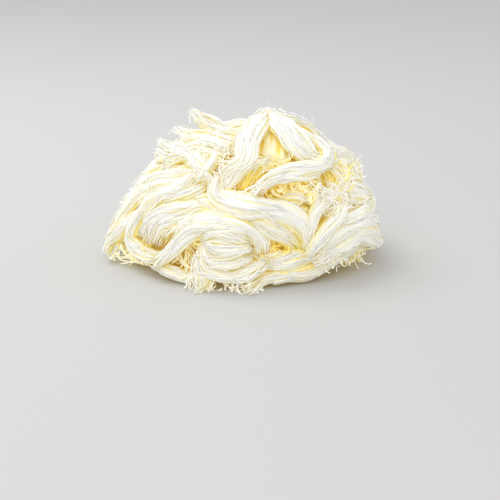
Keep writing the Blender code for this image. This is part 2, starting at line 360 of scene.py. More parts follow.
@dataclass(frozen=True)
class Weave:
    """How a hank is made up of locks and fibres, in millimetres.

    Attributes:
        lock_width: a lock's width.
        lock_thickness: a lock's thickness.
        fibres: how many fibres lie on a lock.
        fibre_radius: half a fibre's thickness.
        step: the distance between a fibre's points.
        lock_step: the distance between a lock's points.
        end_share: the share of a hank's length that its end's shape reaches over.
        sheet_step: the distance between a sheet's points.
        sheet_ridge: how high a sheet's ridges are.
        filling: the share of a hank's section that its locks are counted from.
        buried: the share of its fibres that a lock at the hank's underside has.
        inner: the share of its fibres that a lock at the hank's middle has.
        loose: the share of the fibres that wave more than the others.
        loose_frizz: how many times more those wave.
        lock_painted_shade_bias: how much more golden painted shade a lock gets than its fibres, as it lies
            under them.
        sheet_painted_shade_bias: how much more golden painted shade a sheet gets than the fibres, as it lies
            under them.
    """

    lock_width: float = 4.6
    lock_thickness: float = 3.0
    fibres: float = 14.0
    fibre_radius: float = 0.27
    step: float = 3.6
    lock_step: float = 4.5
    end_share: float = 0.3
    sheet_step: float = 3.0
    sheet_ridge: float = 0.6
    filling: float = 0.95
    buried: float = 0.3
    inner: float = 0.4
    loose: float = 0.1
    loose_frizz: float = 2.6
    lock_painted_shade_bias: float = 0.25
    sheet_painted_shade_bias: float = 0.15


@dataclass(frozen=True)
class Hank:
    """A hank of cheese fibre that lies over the mound through a few stations.

    Attributes:
        name: its name.
        width: its width, in millimetres.
        thickness: its thickness, in millimetres.
        stations: its route, as (degrees round from the front, degrees up, millimetres off the mound).
        root: how it starts.
        tip: how it ends.
        frizz: how much its fibres wave, in millimetres.
        painted_shade_bias: how much more golden painted shade it gets than its place gives it.
        slack: how loose its locks are, as the depth of the sheet that joins them, in millimetres.
    """

    name: str
    width: float
    thickness: float
    stations: tuple[Station, ...]
    root: Ending = Ending.TUCKED
    tip: Ending = Ending.TUCKED
    frizz: float = 0.35
    painted_shade_bias: float = 0.0
    slack: float = 1.3

    def course(
        self, mound: Mound, step: float = 2.0, corrections: int = 4, firmness: float = 0.7, foot: float = 12.0
    ) -> Course:
        """Lays the hank's route over the mound.

        Args:
            mound: the mound.
            step: the distance between the route's points.
            corrections: how many times the route is drawn back to its distance off the mound.
            firmness: the share of the way that it is drawn back each time.
            foot: the height above the table over which a hank turns to lie flat, in millimetres.

        Returns:
            The route.
        """
        stations = np.array([[*mound.point(*station), station[2]] for station in self.stations])
        curve = through(stations, step)
        line, off = curve[:, :3], curve[:, 3:]
        for _ in range(corrections):
            past, gradient = mound.gradient(line)
            steepness = np.linalg.norm(gradient, axis=1)
            line = line + unit(gradient) * (off - (past / steepness)[:, None]) * firmness
        outward = mound.outward(line)
        outward[:, 2] += np.exp(-np.clip(line[:, 2], 0, None) / foot)
        line[:, 2] = np.maximum(line[:, 2], self.thickness * PRESSED)
        along = unit(np.gradient(line, axis=0))
        across = unit(np.cross(along, unit(outward)))
        steps = np.linalg.norm(np.diff(line, axis=0), axis=1)
        reach = np.concatenate([[0.0], np.cumsum(steps)])
        return Course(line, along, across, np.cross(across, along), reach[-1], reach / reach[-1])

    def weave(self, mound: Mound, weave: Weave, chance: np.random.Generator) -> tuple[Strands, ...]:
        """Makes the hank's fibres, the bodies of its locks and the sheet that joins them.

        Args:
            mound: the mound that it lies over.
            weave: how it is made up.
            chance: the source of random draws.

        Returns:
            The fibres, the lock bodies and the sheet.
        """
        course = self.course(mound)
        area = math.pi / 4 * self.width * self.thickness
        locks = max(3, round(weave.filling * area / (weave.lock_width * weave.lock_thickness)))
        plan = LockPlan.drawn(self, course, locks, chance)
        return plan.fibres(weave, chance), plan.bodies(weave, chance), plan.sheet(weave)


@dataclass(frozen=True)
class LockPlan:
    """Where the locks of a hank run inside its section.

    Attributes:
        hank: the hank.
        course: its route.
        radius: each lock's distance from the middle of the section, from 0 to 1.
        angle: each lock's angle in the section.
        turn: how far the section turns from one end of the hank to the other.
        pulse: the phases of the hank's own widening and narrowing.
        sway: the phases of each lock's slow wandering.
        astray: the direction in which each lock leaves the hank at its ends, across and outward.
    """

    hank: Hank
    course: Course
    radius: np.ndarray
    angle: np.ndarray
    turn: float
    pulse: np.ndarray
    sway: np.ndarray
    astray: np.ndarray

    @classmethod
    def drawn(cls, hank: Hank, course: Course, locks: int, chance: np.random.Generator) -> "LockPlan":
        """Draws the plan of a hank.

        Args:
            hank: the hank.
            course: its route.
            locks: how many locks it has.
            chance: the source of random draws.

        Returns:
            The plan.
        """
        index = np.arange(locks)
        radius = np.sqrt((index + 0.5) / locks) * OUTERMOST
        angle = index * GOLDEN_ANGLE + chance.uniform(0, 2 * math.pi)
        turn = chance.choice((-1, 1)) * chance.uniform(0.1, 0.35) * 2 * math.pi * course.length / 100
        pulse = chance.uniform(0, 2 * math.pi, 2)
        sway = chance.uniform(0, 2 * math.pi, (4, locks))
        astray = chance.normal(0, 1, (locks, 2))
        return cls(hank, course, radius, angle, turn, pulse, sway, astray)

    def _opening(self, share: np.ndarray, start: np.ndarray, end: np.ndarray) -> np.ndarray:
        """Gives how many times its own width the hank has at some shares of its length.

        Args:
            share: the shares.
            start: how far each is into the root's shape.
            end: how far each is into the tip's shape.

        Returns:
            The width there, as a multiple.
        """
        slow = share * self.course.length / 100 * 2 * math.pi
        wave = 0.1 * np.sin(2.1 * slow + self.pulse[0]) + 0.05 * np.sin(4.7 * slow + self.pulse[1])
        root, tip = self.hank.root.value, self.hank.tip.value
        return 1 + wave + (root.spread - 1) * start + (tip.spread - 1) * end

    def _ends(self, share: np.ndarray, reach: float) -> tuple[np.ndarray, np.ndarray]:
        """Gives how far into the root's and the tip's shape some shares of the length are."""
        return ease(1 - share / reach), ease((share - 1 + reach) / reach)

    def centres(self, lock: np.ndarray, share: np.ndarray, reach: float) -> tuple[np.ndarray, ...]:
        """Finds the middles of locks.

        Args:
            lock: the lock that each row is of.
            share: the shares of the length, as (rows, points).
            reach: the share of the length that the ends' shapes reach over.

        Returns:
            The middles, the directions across and outward, and the lock's angle at each point.
        """
        hank, root, tip = self.hank, self.hank.root.value, self.hank.tip.value
        place, _, across, outward = self.course.at(share)
        start, end = self._ends(share, reach)
        opening = self._opening(share, start, end)
        lift = 1 - 0.35 * np.maximum(start, end)
        sway = self.sway[:, lock][..., None]
        slow = share * self.course.length / 100 * 2 * math.pi
        radius = self.radius[lock][:, None] * (1 + 0.22 * np.sin(1.7 * slow + sway[0]))
        angle = self.angle[lock][:, None] + self.turn * share + 0.4 * np.sin(1.3 * slow + sway[1])
        half_width, half_thickness = hank.width / 2 - EDGE_ACROSS, hank.thickness / 2 - EDGE_OUTWARD
        u = radius * np.cos(angle) * opening * half_width + 1.0 * np.sin(2.6 * slow + sway[2])
        v = radius * np.sin(angle) * lift * half_thickness + 0.5 * np.sin(2.9 * slow + sway[3])
        drift = root.stray * start**2 + tip.stray * end**2
        u = u + 0.55 * drift * self.astray[lock, 0][:, None]
        v = v + 0.35 * drift * self.astray[lock, 1][:, None]
        place = place + across * u[..., None] + outward * v[..., None]
        place[..., 2] -= root.droop * start**2 + tip.droop * end**2
        return place, across, outward, angle

    def _on_locks(
        self,
        share: np.ndarray,
        angle: np.ndarray,
        closing: np.ndarray,
        weave: Weave,
        chance: np.random.Generator,
    ) -> tuple[np.ndarray, np.ndarray]:
        """Winds fibres slowly round the middles of their locks.

        Args:
            share: the shares of the hank's length at the fibres' points.
            angle: the angle of each fibre's lock there.
            closing: how far the lock is open there, from 0 to 1.
            weave: how the hank is made up.
            chance: the source of random draws.

        Returns:
            How far the points lie across and outward from the locks' middles.
        """
        count = len(share)
        around = chance.uniform(0, 2 * math.pi, count)[:, None]
        around = around + chance.uniform(-1.2, 1.2, count)[:, None] * share * self.course.length / 60
        off = chance.uniform(0.72, 1.12, count)[:, None]
        wide = weave.lock_width / 2 * off * np.cos(around) * closing
        thin = weave.lock_thickness / 2 * off * np.sin(around) * closing
        lie = angle + math.pi / 2
        return wide * np.cos(lie) - thin * np.sin(lie), wide * np.sin(lie) + thin * np.cos(lie)

    def fibres(self, weave: Weave, chance: np.random.Generator) -> Strands:
        """Makes the fibres that lie on the locks.

        Args:
            weave: how the hank is made up.
            chance: the source of random draws.

        Returns:
            The fibres.
        """
        hank, length = self.hank, self.course.length
        root, tip = hank.root.value, hank.tip.value
        hidden = self.radius * np.sin(self.angle + self.turn / 2) < -0.25
        shares = np.where(hidden, weave.buried, np.where(self.radius < 0.5, weave.inner, 1.0))
        counts = shares * weave.fibres
        lock = np.repeat(np.arange(len(self.radius)), np.round(counts).astype(int))
        count, points = len(lock), max(8, round(length / weave.step))
        first = root.ragged * chance.uniform(0, 1, count) ** 1.6 - 0.01
        last = 1.02 - tip.ragged * chance.uniform(0, 1, count) ** 1.6
        share = first[:, None] + (last - first)[:, None] * np.linspace(0, 1, points)
        place, across, outward, angle = self.centres(lock, share, weave.end_share)
        start, end = self._ends(share, weave.end_share)
        closing = 1 - root.clump * start**2 - tip.clump * end**2
        u, v = self._on_locks(share, angle, closing, weave, chance)

        loose = np.where(chance.uniform(0, 1, count) < weave.loose, weave.loose_frizz, 1.0)[:, None]
        wavy = hank.frizz * loose
        travel = share * length * 2 * math.pi
        phase = chance.uniform(0, 2 * math.pi, (4, count, 1))
        stretch = chance.uniform(0.8, 1.25, (4, count, 1))
        u = u + wavy * np.sin(travel / 34 * stretch[0] + phase[0])
        u = u + 0.5 * wavy * np.sin(travel / 14 * stretch[1] + phase[1])
        v = v + 0.8 * wavy * np.sin(travel / 29 * stretch[2] + phase[2])
        v = v + 0.4 * wavy * np.sin(travel / 12 * stretch[3] + phase[3])
        drift = (root.stray * start**3 + tip.stray * end**3) * (0.6 + 0.4 * loose)
        u = u + 0.5 * drift * chance.normal(0, 1, (count, 1))
        v = v + 0.35 * drift * chance.normal(0, 1, (count, 1)) + 0.15 * drift
        place = place + across * u[..., None] + outward * v[..., None]

        radii = weave.fibre_radius * chance.uniform(0.65, 1.5, (count, 1))
        radii = radii * (1 + 0.12 * np.sin(travel / 17 + phase[0]))
        radii = radii * (1 + (tip.knob - 1) * ease((end - 0.55) / 0.45))
        ends = np.minimum(np.arange(points), points - 1 - np.arange(points))
        radii = radii * np.where(ends == 0, 0.45, np.where(ends == 1, 0.85, 1.0))
        lift_off_floor(place, radii)
        tone = chance.normal(0, 0.45, count)
        painted_shade_bias = np.full(count, hank.painted_shade_bias)
        return Strands(place, outward, outward, radii, flatness=1.4, tone=tone, painted_shade_bias=painted_shade_bias)

    def bodies(self, weave: Weave, chance: np.random.Generator) -> Strands:
        """Makes the bodies of the locks, which close the gaps between the fibres.

        Args:
            weave: how the hank is made up.
            chance: the source of random draws.

        Returns:
            One strand for each lock.
        """
        root, tip = self.hank.root.value, self.hank.tip.value
        count, points = len(self.radius), max(6, round(self.course.length / weave.lock_step))
        lock = np.arange(count)
        first = root.ragged * chance.uniform(0.3, 0.8, count)
        last = 1.0 - tip.ragged * chance.uniform(0.3, 0.8, count)
        share = first[:, None] + (last - first)[:, None] * np.linspace(0, 1, points)
        place, across, outward, angle = self.centres(lock, share, weave.end_share)
        start, end = self._ends(share, weave.end_share)
        lie = (angle + math.pi / 2)[..., None]
        facing = outward * np.cos(lie) - across * np.sin(lie)
        radii = np.full((count, points), weave.lock_thickness / 2 * 0.97)
        radii = radii * (1 - 0.35 * np.maximum(start, end))
        radii[:, [0, -1]] *= 0.4
        lift_off_floor(place, radii)
        tone = chance.normal(0, 0.25, count)
        flatness = weave.lock_width / weave.lock_thickness
        # The locks lie under the fibres, so they get more golden painted shade.
        painted_shade_bias = np.full(count, self.hank.painted_shade_bias + weave.lock_painted_shade_bias)
        return Strands(place, outward, facing, radii, flatness, tone, painted_shade_bias)

    def sheet(self, weave: Weave) -> Strands:
        """Makes the sheet of cheese that joins the locks just under their surface.

        Args:
            weave: how the hank is made up.

        Returns:
            One ridged strand, nearly as wide and thick as the hank.
        """
        hank, root, tip = self.hank, self.hank.root.value, self.hank.tip.value
        points = max(8, round(self.course.length / weave.sheet_step))
        share = np.linspace(0.9 * root.ragged, 1 - 0.9 * tip.ragged, points)[None]
        place, _, _, outward = self.course.at(share)
        start, end = self._ends(share, weave.end_share)
        place[..., 2] -= root.droop * start**2 + tip.droop * end**2
        opening = self._opening(share, start, end)
        radii = (hank.thickness / 2 - hank.slack) * (1 - 0.45 * np.maximum(start, end))
        flatness = opening * (hank.width / 2 - hank.slack) / radii
        radii[:, [0, -1]] *= 0.5
        lift_off_floor(place, radii)
        # The sheet lies under the locks, so it gets more golden painted shade than the fibres.
        painted_shade_bias = np.full(1, hank.painted_shade_bias + weave.sheet_painted_shade_bias)
        return Strands(place, outward, outward, radii, flatness, np.zeros(1), painted_shade_bias, weave.sheet_ridge)


# Each hank's bias adds golden painted shade to a hank in a hollow, or takes some off a hank in the light.
LEFT_FOOT = (
    Hank(
        "far_left_upper", 18, 9, ((-62, 36, 5), (-73, 26, 8), (-79, 15, 10), (-79, 6, 13)),
        tip=Ending.KNOBBED,
    ),
    Hank(
        "far_left_lower", 9, 8, ((-56, 26, 6), (-66, 16, 9), (-73, 9, 12), (-76, 5, 15), (-75, 2, 16)),
        tip=Ending.KNOBBED,
    ),
    Hank(
        "left_loop_outer", 12, 9,
        ((-29, 44, 10), (-42, 33, 10), (-54, 25, 10), (-61, 15, 10), (-62, 9, 9), (-51, 6, 8), (-39, 6, 8)),
        frizz=0.15, painted_shade_bias=0.08, slack=1.0,
    ),
    Hank("left_loop_inner", 11, 8, ((-23, 38, 9), (-36, 32, 9), (-49, 26, 9), (-54, 18, 9)), frizz=0.25),
    Hank("inner_stub", 13, 9, ((-22, 29, 8), (-35, 25, 10), (-46, 20, 11), (-51, 12, 10)), tip=Ending.BRUSH),
    Hank("second_stub", 12, 9, ((-17, 27, 7), (-30, 23, 9), (-39, 19, 10), (-43, 12, 9)), tip=Ending.BRUSH),
    Hank("second_end", 14, 8, ((-1, 24, 8), (-15, 24, 10), (-27, 20, 11), (-34, 12, 11)), tip=Ending.FRAYED),
)
COIL = tuple(
    Hank(f"coil_{place}", 11, 8, stations, root=Ending.GATHERED, frizz=0.5, slack=2.6)
    for place, stations in (
        ("top", ((-18, 14, 14), (-13, 17, 14), (-6, 17, 14), (1, 15, 11))),
        ("middle", ((-18, 14, 15), (-12, 13, 16), (-4, 13, 15), (3, 13, 11))),
        ("lower", ((-18, 14, 14), (-14, 9, 15), (-7, 8, 15), (3, 10, 12))),
    )
)
FRONT = (
    Hank(
        "big_arch", 13, 9,
        ((9, 9, 8), (6, 16, 10), (-3, 21, 12), (-14, 22, 13), (-24, 18, 12), (-32, 11, 11), (-40, 4, 11)),
        frizz=0.25,
    ),
    Hank(
        "under_edge", 9, 7, ((-42, 4, 10), (-28, 2, 9), (-12, 1, 10)),
        root=Ending.KNOBBED, tip=Ending.FRAYED,
    ),
    *COIL,
    Hank(
        "coil_outer", 10, 7, ((-18, 12, 14), (-16, 6, 15), (-7, 4, 16), (3, 6, 13), (10, 8, 10)),
        root=Ending.GATHERED, frizz=0.5, slack=2.2,
    ),
    Hank(
        "coil_fan", 12, 8, ((-18, 12, 13), (-17, 6, 13), (-13, 0, 18)),
        root=Ending.GATHERED, tip=Ending.FRAYED,
    ),
)
RIGHT_FOOT = (
    Hank(
        "front_right_edge", 11, 8,
        ((70, 10, 12), (47, 7, 11), (34, 4, 10), (20, 3, 10), (8, 2, 11), (1, 0, 18)),
        tip=Ending.FRAYED, frizz=0.25,
    ),
    Hank("front_right_middle", 12, 8, ((58, 13, 10), (37, 10, 10), (22, 8, 10), (9, 7, 10)), frizz=0.3),
    Hank(
        "skirt", 25, 8, ((82, 8, 10), (73, 11, 14), (59, 15, 15), (42, 14, 13), (29, 9, 12)),
        frizz=0.7, painted_shade_bias=-0.12, slack=0.9,
    ),
    Hank(
        "skirt_ridge", 9, 8, ((51, 26, 12), (43, 21, 15), (35, 18, 16), (30, 13, 15), (28, 8, 12)),
        frizz=0.3,
    ),
    Hank("ridge_inner", 9, 8, ((40, 30, 10), (31, 23, 13), (29, 17, 13), (28, 11, 11)), frizz=0.5),
    Hank("right_loop", 8, 7, ((74, 28, 10), (81, 22, 12), (69, 19, 14), (56, 18, 14)), frizz=0.3),
)
MIDDLE = (
    Hank(
        "middle_rope_upper", 15, 10,
        ((-20, 42, 11), (-16, 33, 11), (-4, 30, 12), (8, 28, 12), (19, 25, 12), (27, 19, 12), (29, 12, 10)),
        frizz=0.2,
    ),
    Hank(
        "middle_rope_lower", 15, 9,
        ((-42, 25, 7), (-22, 29, 8), (-3, 26, 9), (9, 23, 9), (20, 18, 9), (27, 11, 8)), frizz=0.3,
    ),
    Hank("middle_band", 12, 8, ((-6, 22, 8), (7, 20, 9), (17, 17, 8), (24, 11, 7)), frizz=0.4),
)
CROWN = (
    Hank(
        "bow_rim", 12, 9,
        ((46, 66, 9), (56, 56, 11), (54, 48, 12), (42, 43, 13), (24, 42, 14), (9, 39, 14), (1, 33, 12)),
        tip=Ending.FRAYED, frizz=0.2,
    ),
    Hank(
        "bow_sheet", 20, 8, ((41, 81, 12), (36, 66, 12), (39, 54, 12), (45, 47, 12)),
        root=Ending.GATHERED, frizz=0.25, painted_shade_bias=-0.3,
    ),
    Hank(
        "bow_lining", 16, 8, ((43, 80, 10), (34, 64, 12), (34, 53, 12), (38, 46, 11)),
        root=Ending.GATHERED, painted_shade_bias=-0.2,
    ),
    Hank(
        "crown_left", 15, 9, ((36, 83, 12), (4, 70, 13), (-4, 58, 13), (-5, 49, 12), (-14, 41, 12)),
        root=Ending.GATHERED, frizz=0.25,
    ),
    Hank(
        "crown_front", 15, 8, ((38, 81, 11), (1, 66, 11), (-6, 58, 10), (-9, 50, 9)),
        root=Ending.GATHERED, frizz=0.25, painted_shade_bias=0.15,
    ),
    Hank(
        "pocket_sheet", 22, 6, ((73, 83, 8), (25, 68, 7), (18, 58, 6), (13, 49, 6), (11, 44, 6)),
        root=Ending.GATHERED, tip=Ending.FRAYED, frizz=0.15, painted_shade_bias=0.12, slack=-0.45,
    ),
    Hank(
        "crown_back", 16, 8, ((38, 83, 12), (120, 80, 9), (158, 66, 7), (172, 50, 6)),
        root=Ending.GATHERED, tip=Ending.FRAYED,
    ),
    Hank(
        "crown_back_side", 14, 8, ((40, 82, 10), (96, 72, 8), (118, 58, 6), (122, 44, 5)),
        root=Ending.GATHERED, tip=Ending.FRAYED,
    ),
    Hank(
        "pocket_rim", 12, 8, ((12, 50, 8), (2, 49, 10), (-7, 47, 11), (-12, 41, 11), (-15, 34, 10)),
        frizz=0.25,
    ),
    Hank("hollow_wall", 12, 7, ((10, 48, 7), (3, 46, 8), (-4, 41, 7), (-6, 35, 6)), frizz=0.8, painted_shade_bias=1.1),
    Hank("hollow_lobe", 9, 7, ((17, 30, 5), (22, 32, 8), (29, 29, 7)), frizz=0.5, painted_shade_bias=0.1),
    Hank(
        "right_shoulder", 18, 9, ((60, 51, 6), (76, 47, 8), (84, 39, 9), (76, 30, 8)),
        root=Ending.FRAYED, frizz=0.7,
    ),
    Hank("right_shoulder_inner", 14, 8, ((57, 46, 6), (62, 40, 7), (62, 32, 8), (64, 25, 7)), frizz=0.7),
    Hank(
        "shoulder_streak", 9, 7, ((53, 43, 4), (55, 38, 5), (56, 31, 6), (58, 25, 6)),
        frizz=0.7, painted_shade_bias=0.9,
    ),
    Hank(
        "right_knob", 14, 9, ((58, 30, 8), (66, 27, 11), (75, 23, 12)),
        tip=Ending.KNOBBED, painted_shade_bias=-0.1, slack=1.0,
    ),
)
TUFTS = (
    Hank(
        "tuft_peak", 14, 9, ((10, 70, 3), (-40, 72, 5), (-72, 69, 10), (-82, 64, 19)),
        tip=Ending.WISPY, painted_shade_bias=-0.15,
    ),
    Hank(
        "tuft_upper", 16, 9, ((-14, 63, 5), (-44, 62, 7), (-66, 59, 9), (-82, 55, 15)),
        tip=Ending.WISPY, painted_shade_bias=-0.15,
    ),
    Hank(
        "tuft_middle", 15, 9, ((-18, 57, 6), (-44, 56, 8), (-64, 52, 9), (-81, 47, 15)),
        tip=Ending.WISPY, painted_shade_bias=-0.15,
    ),
    Hank(
        "tuft_lower", 14, 8, ((-20, 51, 5), (-40, 51, 8), (-60, 48, 9), (-80, 45, 14)),
        tip=Ending.WISPY, frizz=0.8,
    ),
    Hank("tuft_strand", 8, 7, ((-33, 57, 8), (-26, 50, 10), (-27, 43, 11), (-31, 37, 10)), frizz=0.3),
    Hank(
        "shoulder_loop", 10, 8, ((-60, 38, 9), (-58, 45, 10), (-45, 49, 11), (-30, 44, 11), (-22, 38, 10)),
        frizz=0.6,
    ),
    Hank(
        "left_slope", 17, 8, ((-28, 42, 7), (-56, 38, 8), (-76, 29, 8), (-84, 20, 9)),
        tip=Ending.FRAYED,
    ),
)
SHOWN = {
    "left_foot": LEFT_FOOT,
    "front": FRONT,
    "right_foot": RIGHT_FOOT,
    "middle": MIDDLE,
    "crown": CROWN,
    "tufts": TUFTS,
}


@dataclass(frozen=True)
class Back:
    """The hanks of the back and the crown, which are drawn by rule.

    Attributes:
        seed: the seed of their random draws.
        start: where the back starts, in degrees round from the front.
        stop: where it ends.
        count: how many hanks lie over it, each in an arc.
        feet: how many more lie level round its foot, under the others.
        foot_up: the degrees up of those.
        foot_reach: the length of those, in millimetres.
        foot_turn: how far those turn in all, in degrees.
        up: the degrees up of the lowest and the highest.
        reach: the shortest and the longest arc, in millimetres.
        lean: how far an arc leans from the level, in degrees.
        turn: how far an arc turns in all, in degrees.
        off: how far off the mound an arc's middle lies, low down and high up, in millimetres.
        side: the millimetres of the mound's side in a degree.
        climbs: the lowest and the highest that an arc goes, in degrees up.
        low: how many of the arcs over it are counted with its foot.
        crossings: how many hanks cross the crown.
        crossing_start: where the first of those starts.
        crossing_stop: where the last of those starts.
        crossing_bend: how far those bend aside, in degrees.
    """

    seed: int = 7
    start: float = 84.0
    stop: float = 276.0
    count: int = 29
    feet: int = 5
    foot_up: float = 3.5
    foot_reach: float = 66.0
    foot_turn: float = 24.0
    up: tuple[float, float] = (5.0, 66.0)
    reach: tuple[float, float] = (62.0, 104.0)
    lean: float = 62.0
    turn: float = 120.0
    off: tuple[float, float] = (7.5, 3.0)
    side: float = 1.15
    climbs: tuple[float, float] = (2.0, 78.0)
    low: int = 12
    crossings: int = 4
    crossing_start: float = 70.0
    crossing_stop: float = 172.0
    crossing_bend: float = 25.0

    def _arc(self, around: float, up: float, lean: float, turn: float, reach: float) -> tuple[Station, ...]:
        """Lays an arc over the mound.

        Args:
            around: the degrees round of its middle.
            up: the degrees up of its middle.
            lean: its lean from the level, in radians.
            turn: its whole turn, in radians.
            reach: its length, in millimetres.

        Returns:
            Its stations.
        """
        stations = []
        for share, rise in ((-0.5, 0.15), (-0.25, 0.8), (0.0, 1.0), (0.25, 0.8), (0.5, 0.15)):
            bend = turn * share
            along = reach * math.sin(bend) / turn
            aside = reach * (1 - math.cos(bend)) / turn
            climb = up + (along * math.sin(lean) + aside * math.cos(lean)) / self.side
            climb = min(self.climbs[1], max(self.climbs[0], climb))
            level = (along * math.cos(lean) - aside * math.sin(lean)) / self.side
            high = min(1.0, climb / self.up[1])
            off = rise * (self.off[0] + (self.off[1] - self.off[0]) * high)
            stations.append((around + level / max(0.4, math.cos(math.radians(climb))), climb, off))
        return tuple(stations)

    def _foot(self, chance: np.random.Generator) -> list[Hank]:
        """Draws the hanks that lie level round the foot.

        Args:
            chance: the source of random draws.

        Returns:
            The hanks.
        """
        hanks = []
        for index in range(self.feet):
            around = self.start + (self.stop - self.start) * (index + 0.5) / self.feet
            turn = math.radians(self.foot_turn) * (-1) ** index
            stations = self._arc(around, self.foot_up + 2 * (index % 2), 0.0, turn, self.foot_reach)
            width, thickness = chance.uniform(12, 16), chance.uniform(8, 9)
            hanks.append(Hank(f"foot_{index + 1}", width, thickness, stations, tip=Ending.FRAYED))
        return hanks

    def _arcs(self, chance: np.random.Generator) -> list[Hank]:
        """Draws the arcs over the back.

        Args:
            chance: the source of random draws.

        Returns:
            The arcs, from the lowest up.
        """
        low, high = self.up
        tips = (Ending.TUCKED, Ending.FRAYED, Ending.TUCKED, Ending.BRUSH, Ending.TUCKED, Ending.WISPY)
        arcs = []
        for index in range(self.count):
            around = self.start + (self.stop - self.start) * ((index + 0.5) * GOLDEN_SHARE % 1)
            up = low + (high - low) * (index + 0.5) / self.count
            lean = chance.uniform(-self.lean, self.lean) * min(1, up / 20) + 180 * (index % 2)
            turn = math.radians(chance.uniform(20, self.turn) * chance.choice((-1, 1)))
            stations = self._arc(around, up, math.radians(lean), turn, chance.uniform(*self.reach))
            width, thickness = chance.uniform(12, 20), chance.uniform(8, 10)
            arcs.append(Hank(f"back_{index + 1}", width, thickness, stations, tip=tips[index % len(tips)]))
        return arcs

    def _crossings(self, chance: np.random.Generator) -> list[Hank]:
        """Draws the hanks that cross the crown.

        Args:
            chance: the source of random draws.

        Returns:
            The hanks.
        """
        spacing = (self.crossing_stop - self.crossing_start) / (self.crossings - 1)
        hanks = []
        for index in range(self.crossings):
            start = self.crossing_start + spacing * index
            bend = chance.uniform(-self.crossing_bend, self.crossing_bend)
            stations = (
                (start, 52, 0),
                (start + bend, 76, 1.5),
                (start + 180 - bend, 80, 2),
                (start + 165, 56, 0),
            )
            width, thickness = chance.uniform(16, 22), chance.uniform(8, 10)
            hanks.append(Hank(f"crown_crossing_{index + 1}", width, thickness, stations))
        return hanks

    def hanks(self) -> dict[str, list[Hank]]:
        """Draws the hanks.

        Returns:
            The hanks of each piece, by its name.
        """
        chance = np.random.default_rng(self.seed)
        foot, arcs = self._foot(chance), self._arcs(chance)
        return {
            "crown_crossings": self._crossings(chance),
            "back_foot": foot + arcs[: self.low],
            "back_side": arcs[self.low :],
        }


@dataclass
class Shelter:
    """How much the cheese hides any place of the heap from the light, from 0 to 1.

    Attributes:
        low: the lowest corner of the room that is measured.
        high: its highest corner.
        cell: the size of a cell.
        rays: how many ways the light is looked for.
        steps: how far along each way the cheese is counted.
        near: how far off a place the counting starts.
        density: how quickly full cells stop the light, to the millimetre.
        sunk: how far inside the mound, by its own formula, its cells are full.
        packed: the most cheese that is counted in a cell, as a share of it.
        glancing: how much the light that comes in past level with the surface still counts.
        filled: the share of each cell that is filled.
    """

    low: Triple = (-112.0, -106.0, -8.0)
    high: Triple = (112.0, 106.0, 122.0)
    cell: float = 1.4
    rays: int = 26
    steps: tuple[float, ...] = (1.8, 3.4, 5.2, 7.4, 10.4, 14.5)
    near: float = 0.6
    density: float = 8 / 11
    sunk: float = 0.04
    packed: float = 1.6
    glancing: float = 0.15
    filled: np.ndarray = field(init=False)

    def __post_init__(self) -> None:
        """Starts with empty cells."""
        sizes = (np.array(self.high) - np.array(self.low)) / self.cell
        self.filled = np.zeros(tuple(np.ceil(sizes).astype(int)), dtype=np.float32)

    def fill_mound(self, mound: Mound) -> None:
        """Fills the mound.

        Args:
            mound: the mound.
        """
        axes = [low + self.cell * (np.arange(n) + 0.5) for low, n in zip(self.low, self.filled.shape)]
        cells = np.stack(np.meshgrid(*axes, indexing="ij"), axis=-1)
        past, _ = mound.gradient(cells)
        self.filled[(past < -self.sunk) & (cells[..., 2] > 0)] = 1

    def _index(self, points: np.ndarray) -> np.ndarray:
        """Finds the cells that places are in.

        Args:
            points: the places, along the last axis.

        Returns:
            Each cell's number, as the cells are laid out one after the other.
        """
        index = ((points - np.array(self.low)) / self.cell).astype(np.int32)
        index = np.clip(index, 0, np.array(self.filled.shape, dtype=np.int32) - 1)
        return np.ravel_multi_index(tuple(np.moveaxis(index, -1, 0)), self.filled.shape)

    def add(self, strands: Strands) -> None:
        """Adds the cheese of some strands.

        Args:
            strands: the strands.
        """
        flat = self._index(strands.points).ravel()
        volume = np.bincount(flat, strands.volumes().ravel(), minlength=self.filled.size)
        self.filled += (volume / self.cell**3).reshape(self.filled.shape).astype(np.float32)

    def settle(self) -> None:
        """Spreads each cell over its neighbours, twice over."""
        spread = np.clip(self.filled, 0, self.packed)
        for _ in range(2):
            for axis in range(3):
                spread = (np.roll(spread, 1, axis) + spread + np.roll(spread, -1, axis)) / 3
        self.filled = np.clip(spread, 0, 1)

    def at(self, points: np.ndarray, outward: np.ndarray) -> np.ndarray:
        """Looks for the light from some places.

        Args:
            points: the places, along the last axis.
            outward: the directions away from the heap there.

        Returns:
            How much of the light is hidden at each place.
        """
        index = np.arange(self.rays)
        height = 1 - (2 * index + 1) / self.rays
        level = np.sqrt(1 - height**2)
        turn = index * GOLDEN_ANGLE
        ways = np.stack([level * np.cos(turn), level * np.sin(turn), height], -1)
        cells = self.filled.ravel()
        hidden = np.zeros(points.shape[:-1])
        total = np.zeros(points.shape[:-1])
        for way in ways:
            weight = np.clip(outward @ way + self.glancing, 0, None)
            passed = np.ones(points.shape[:-1])
            last = self.near
            for reach in self.steps:
                full = cells[self._index(points + way * reach)]
                passed *= np.exp(-self.density * full * (reach - last))
                last = reach
            hidden += weight * (1 - passed)
            total += weight
        return hidden / total


@dataclass(frozen=True)
class Section:
    """The section that is swept along a kind of strand.

    Attributes:
        sides: how many sides it has.
        flank: how much more golden painted shade its flanks and furrows get, as if more hidden from the
            light, from 0 to 1.
    """

    sides: int
    flank: float


class Cut(Enum):
    """The sections of the kinds of strand, plainer at the back than at the front."""

    SHEET = Section(48, 0.28)
    BACK_SHEET = Section(24, 0.28)
    LOCK = Section(7, 0.14)
    FIBRE = Section(5, 0.38)
    BACK_FIBRE = Section(3, 0.38)
    CURL = Section(5, 0.35)
    HAIR = Section(3, 0.05)


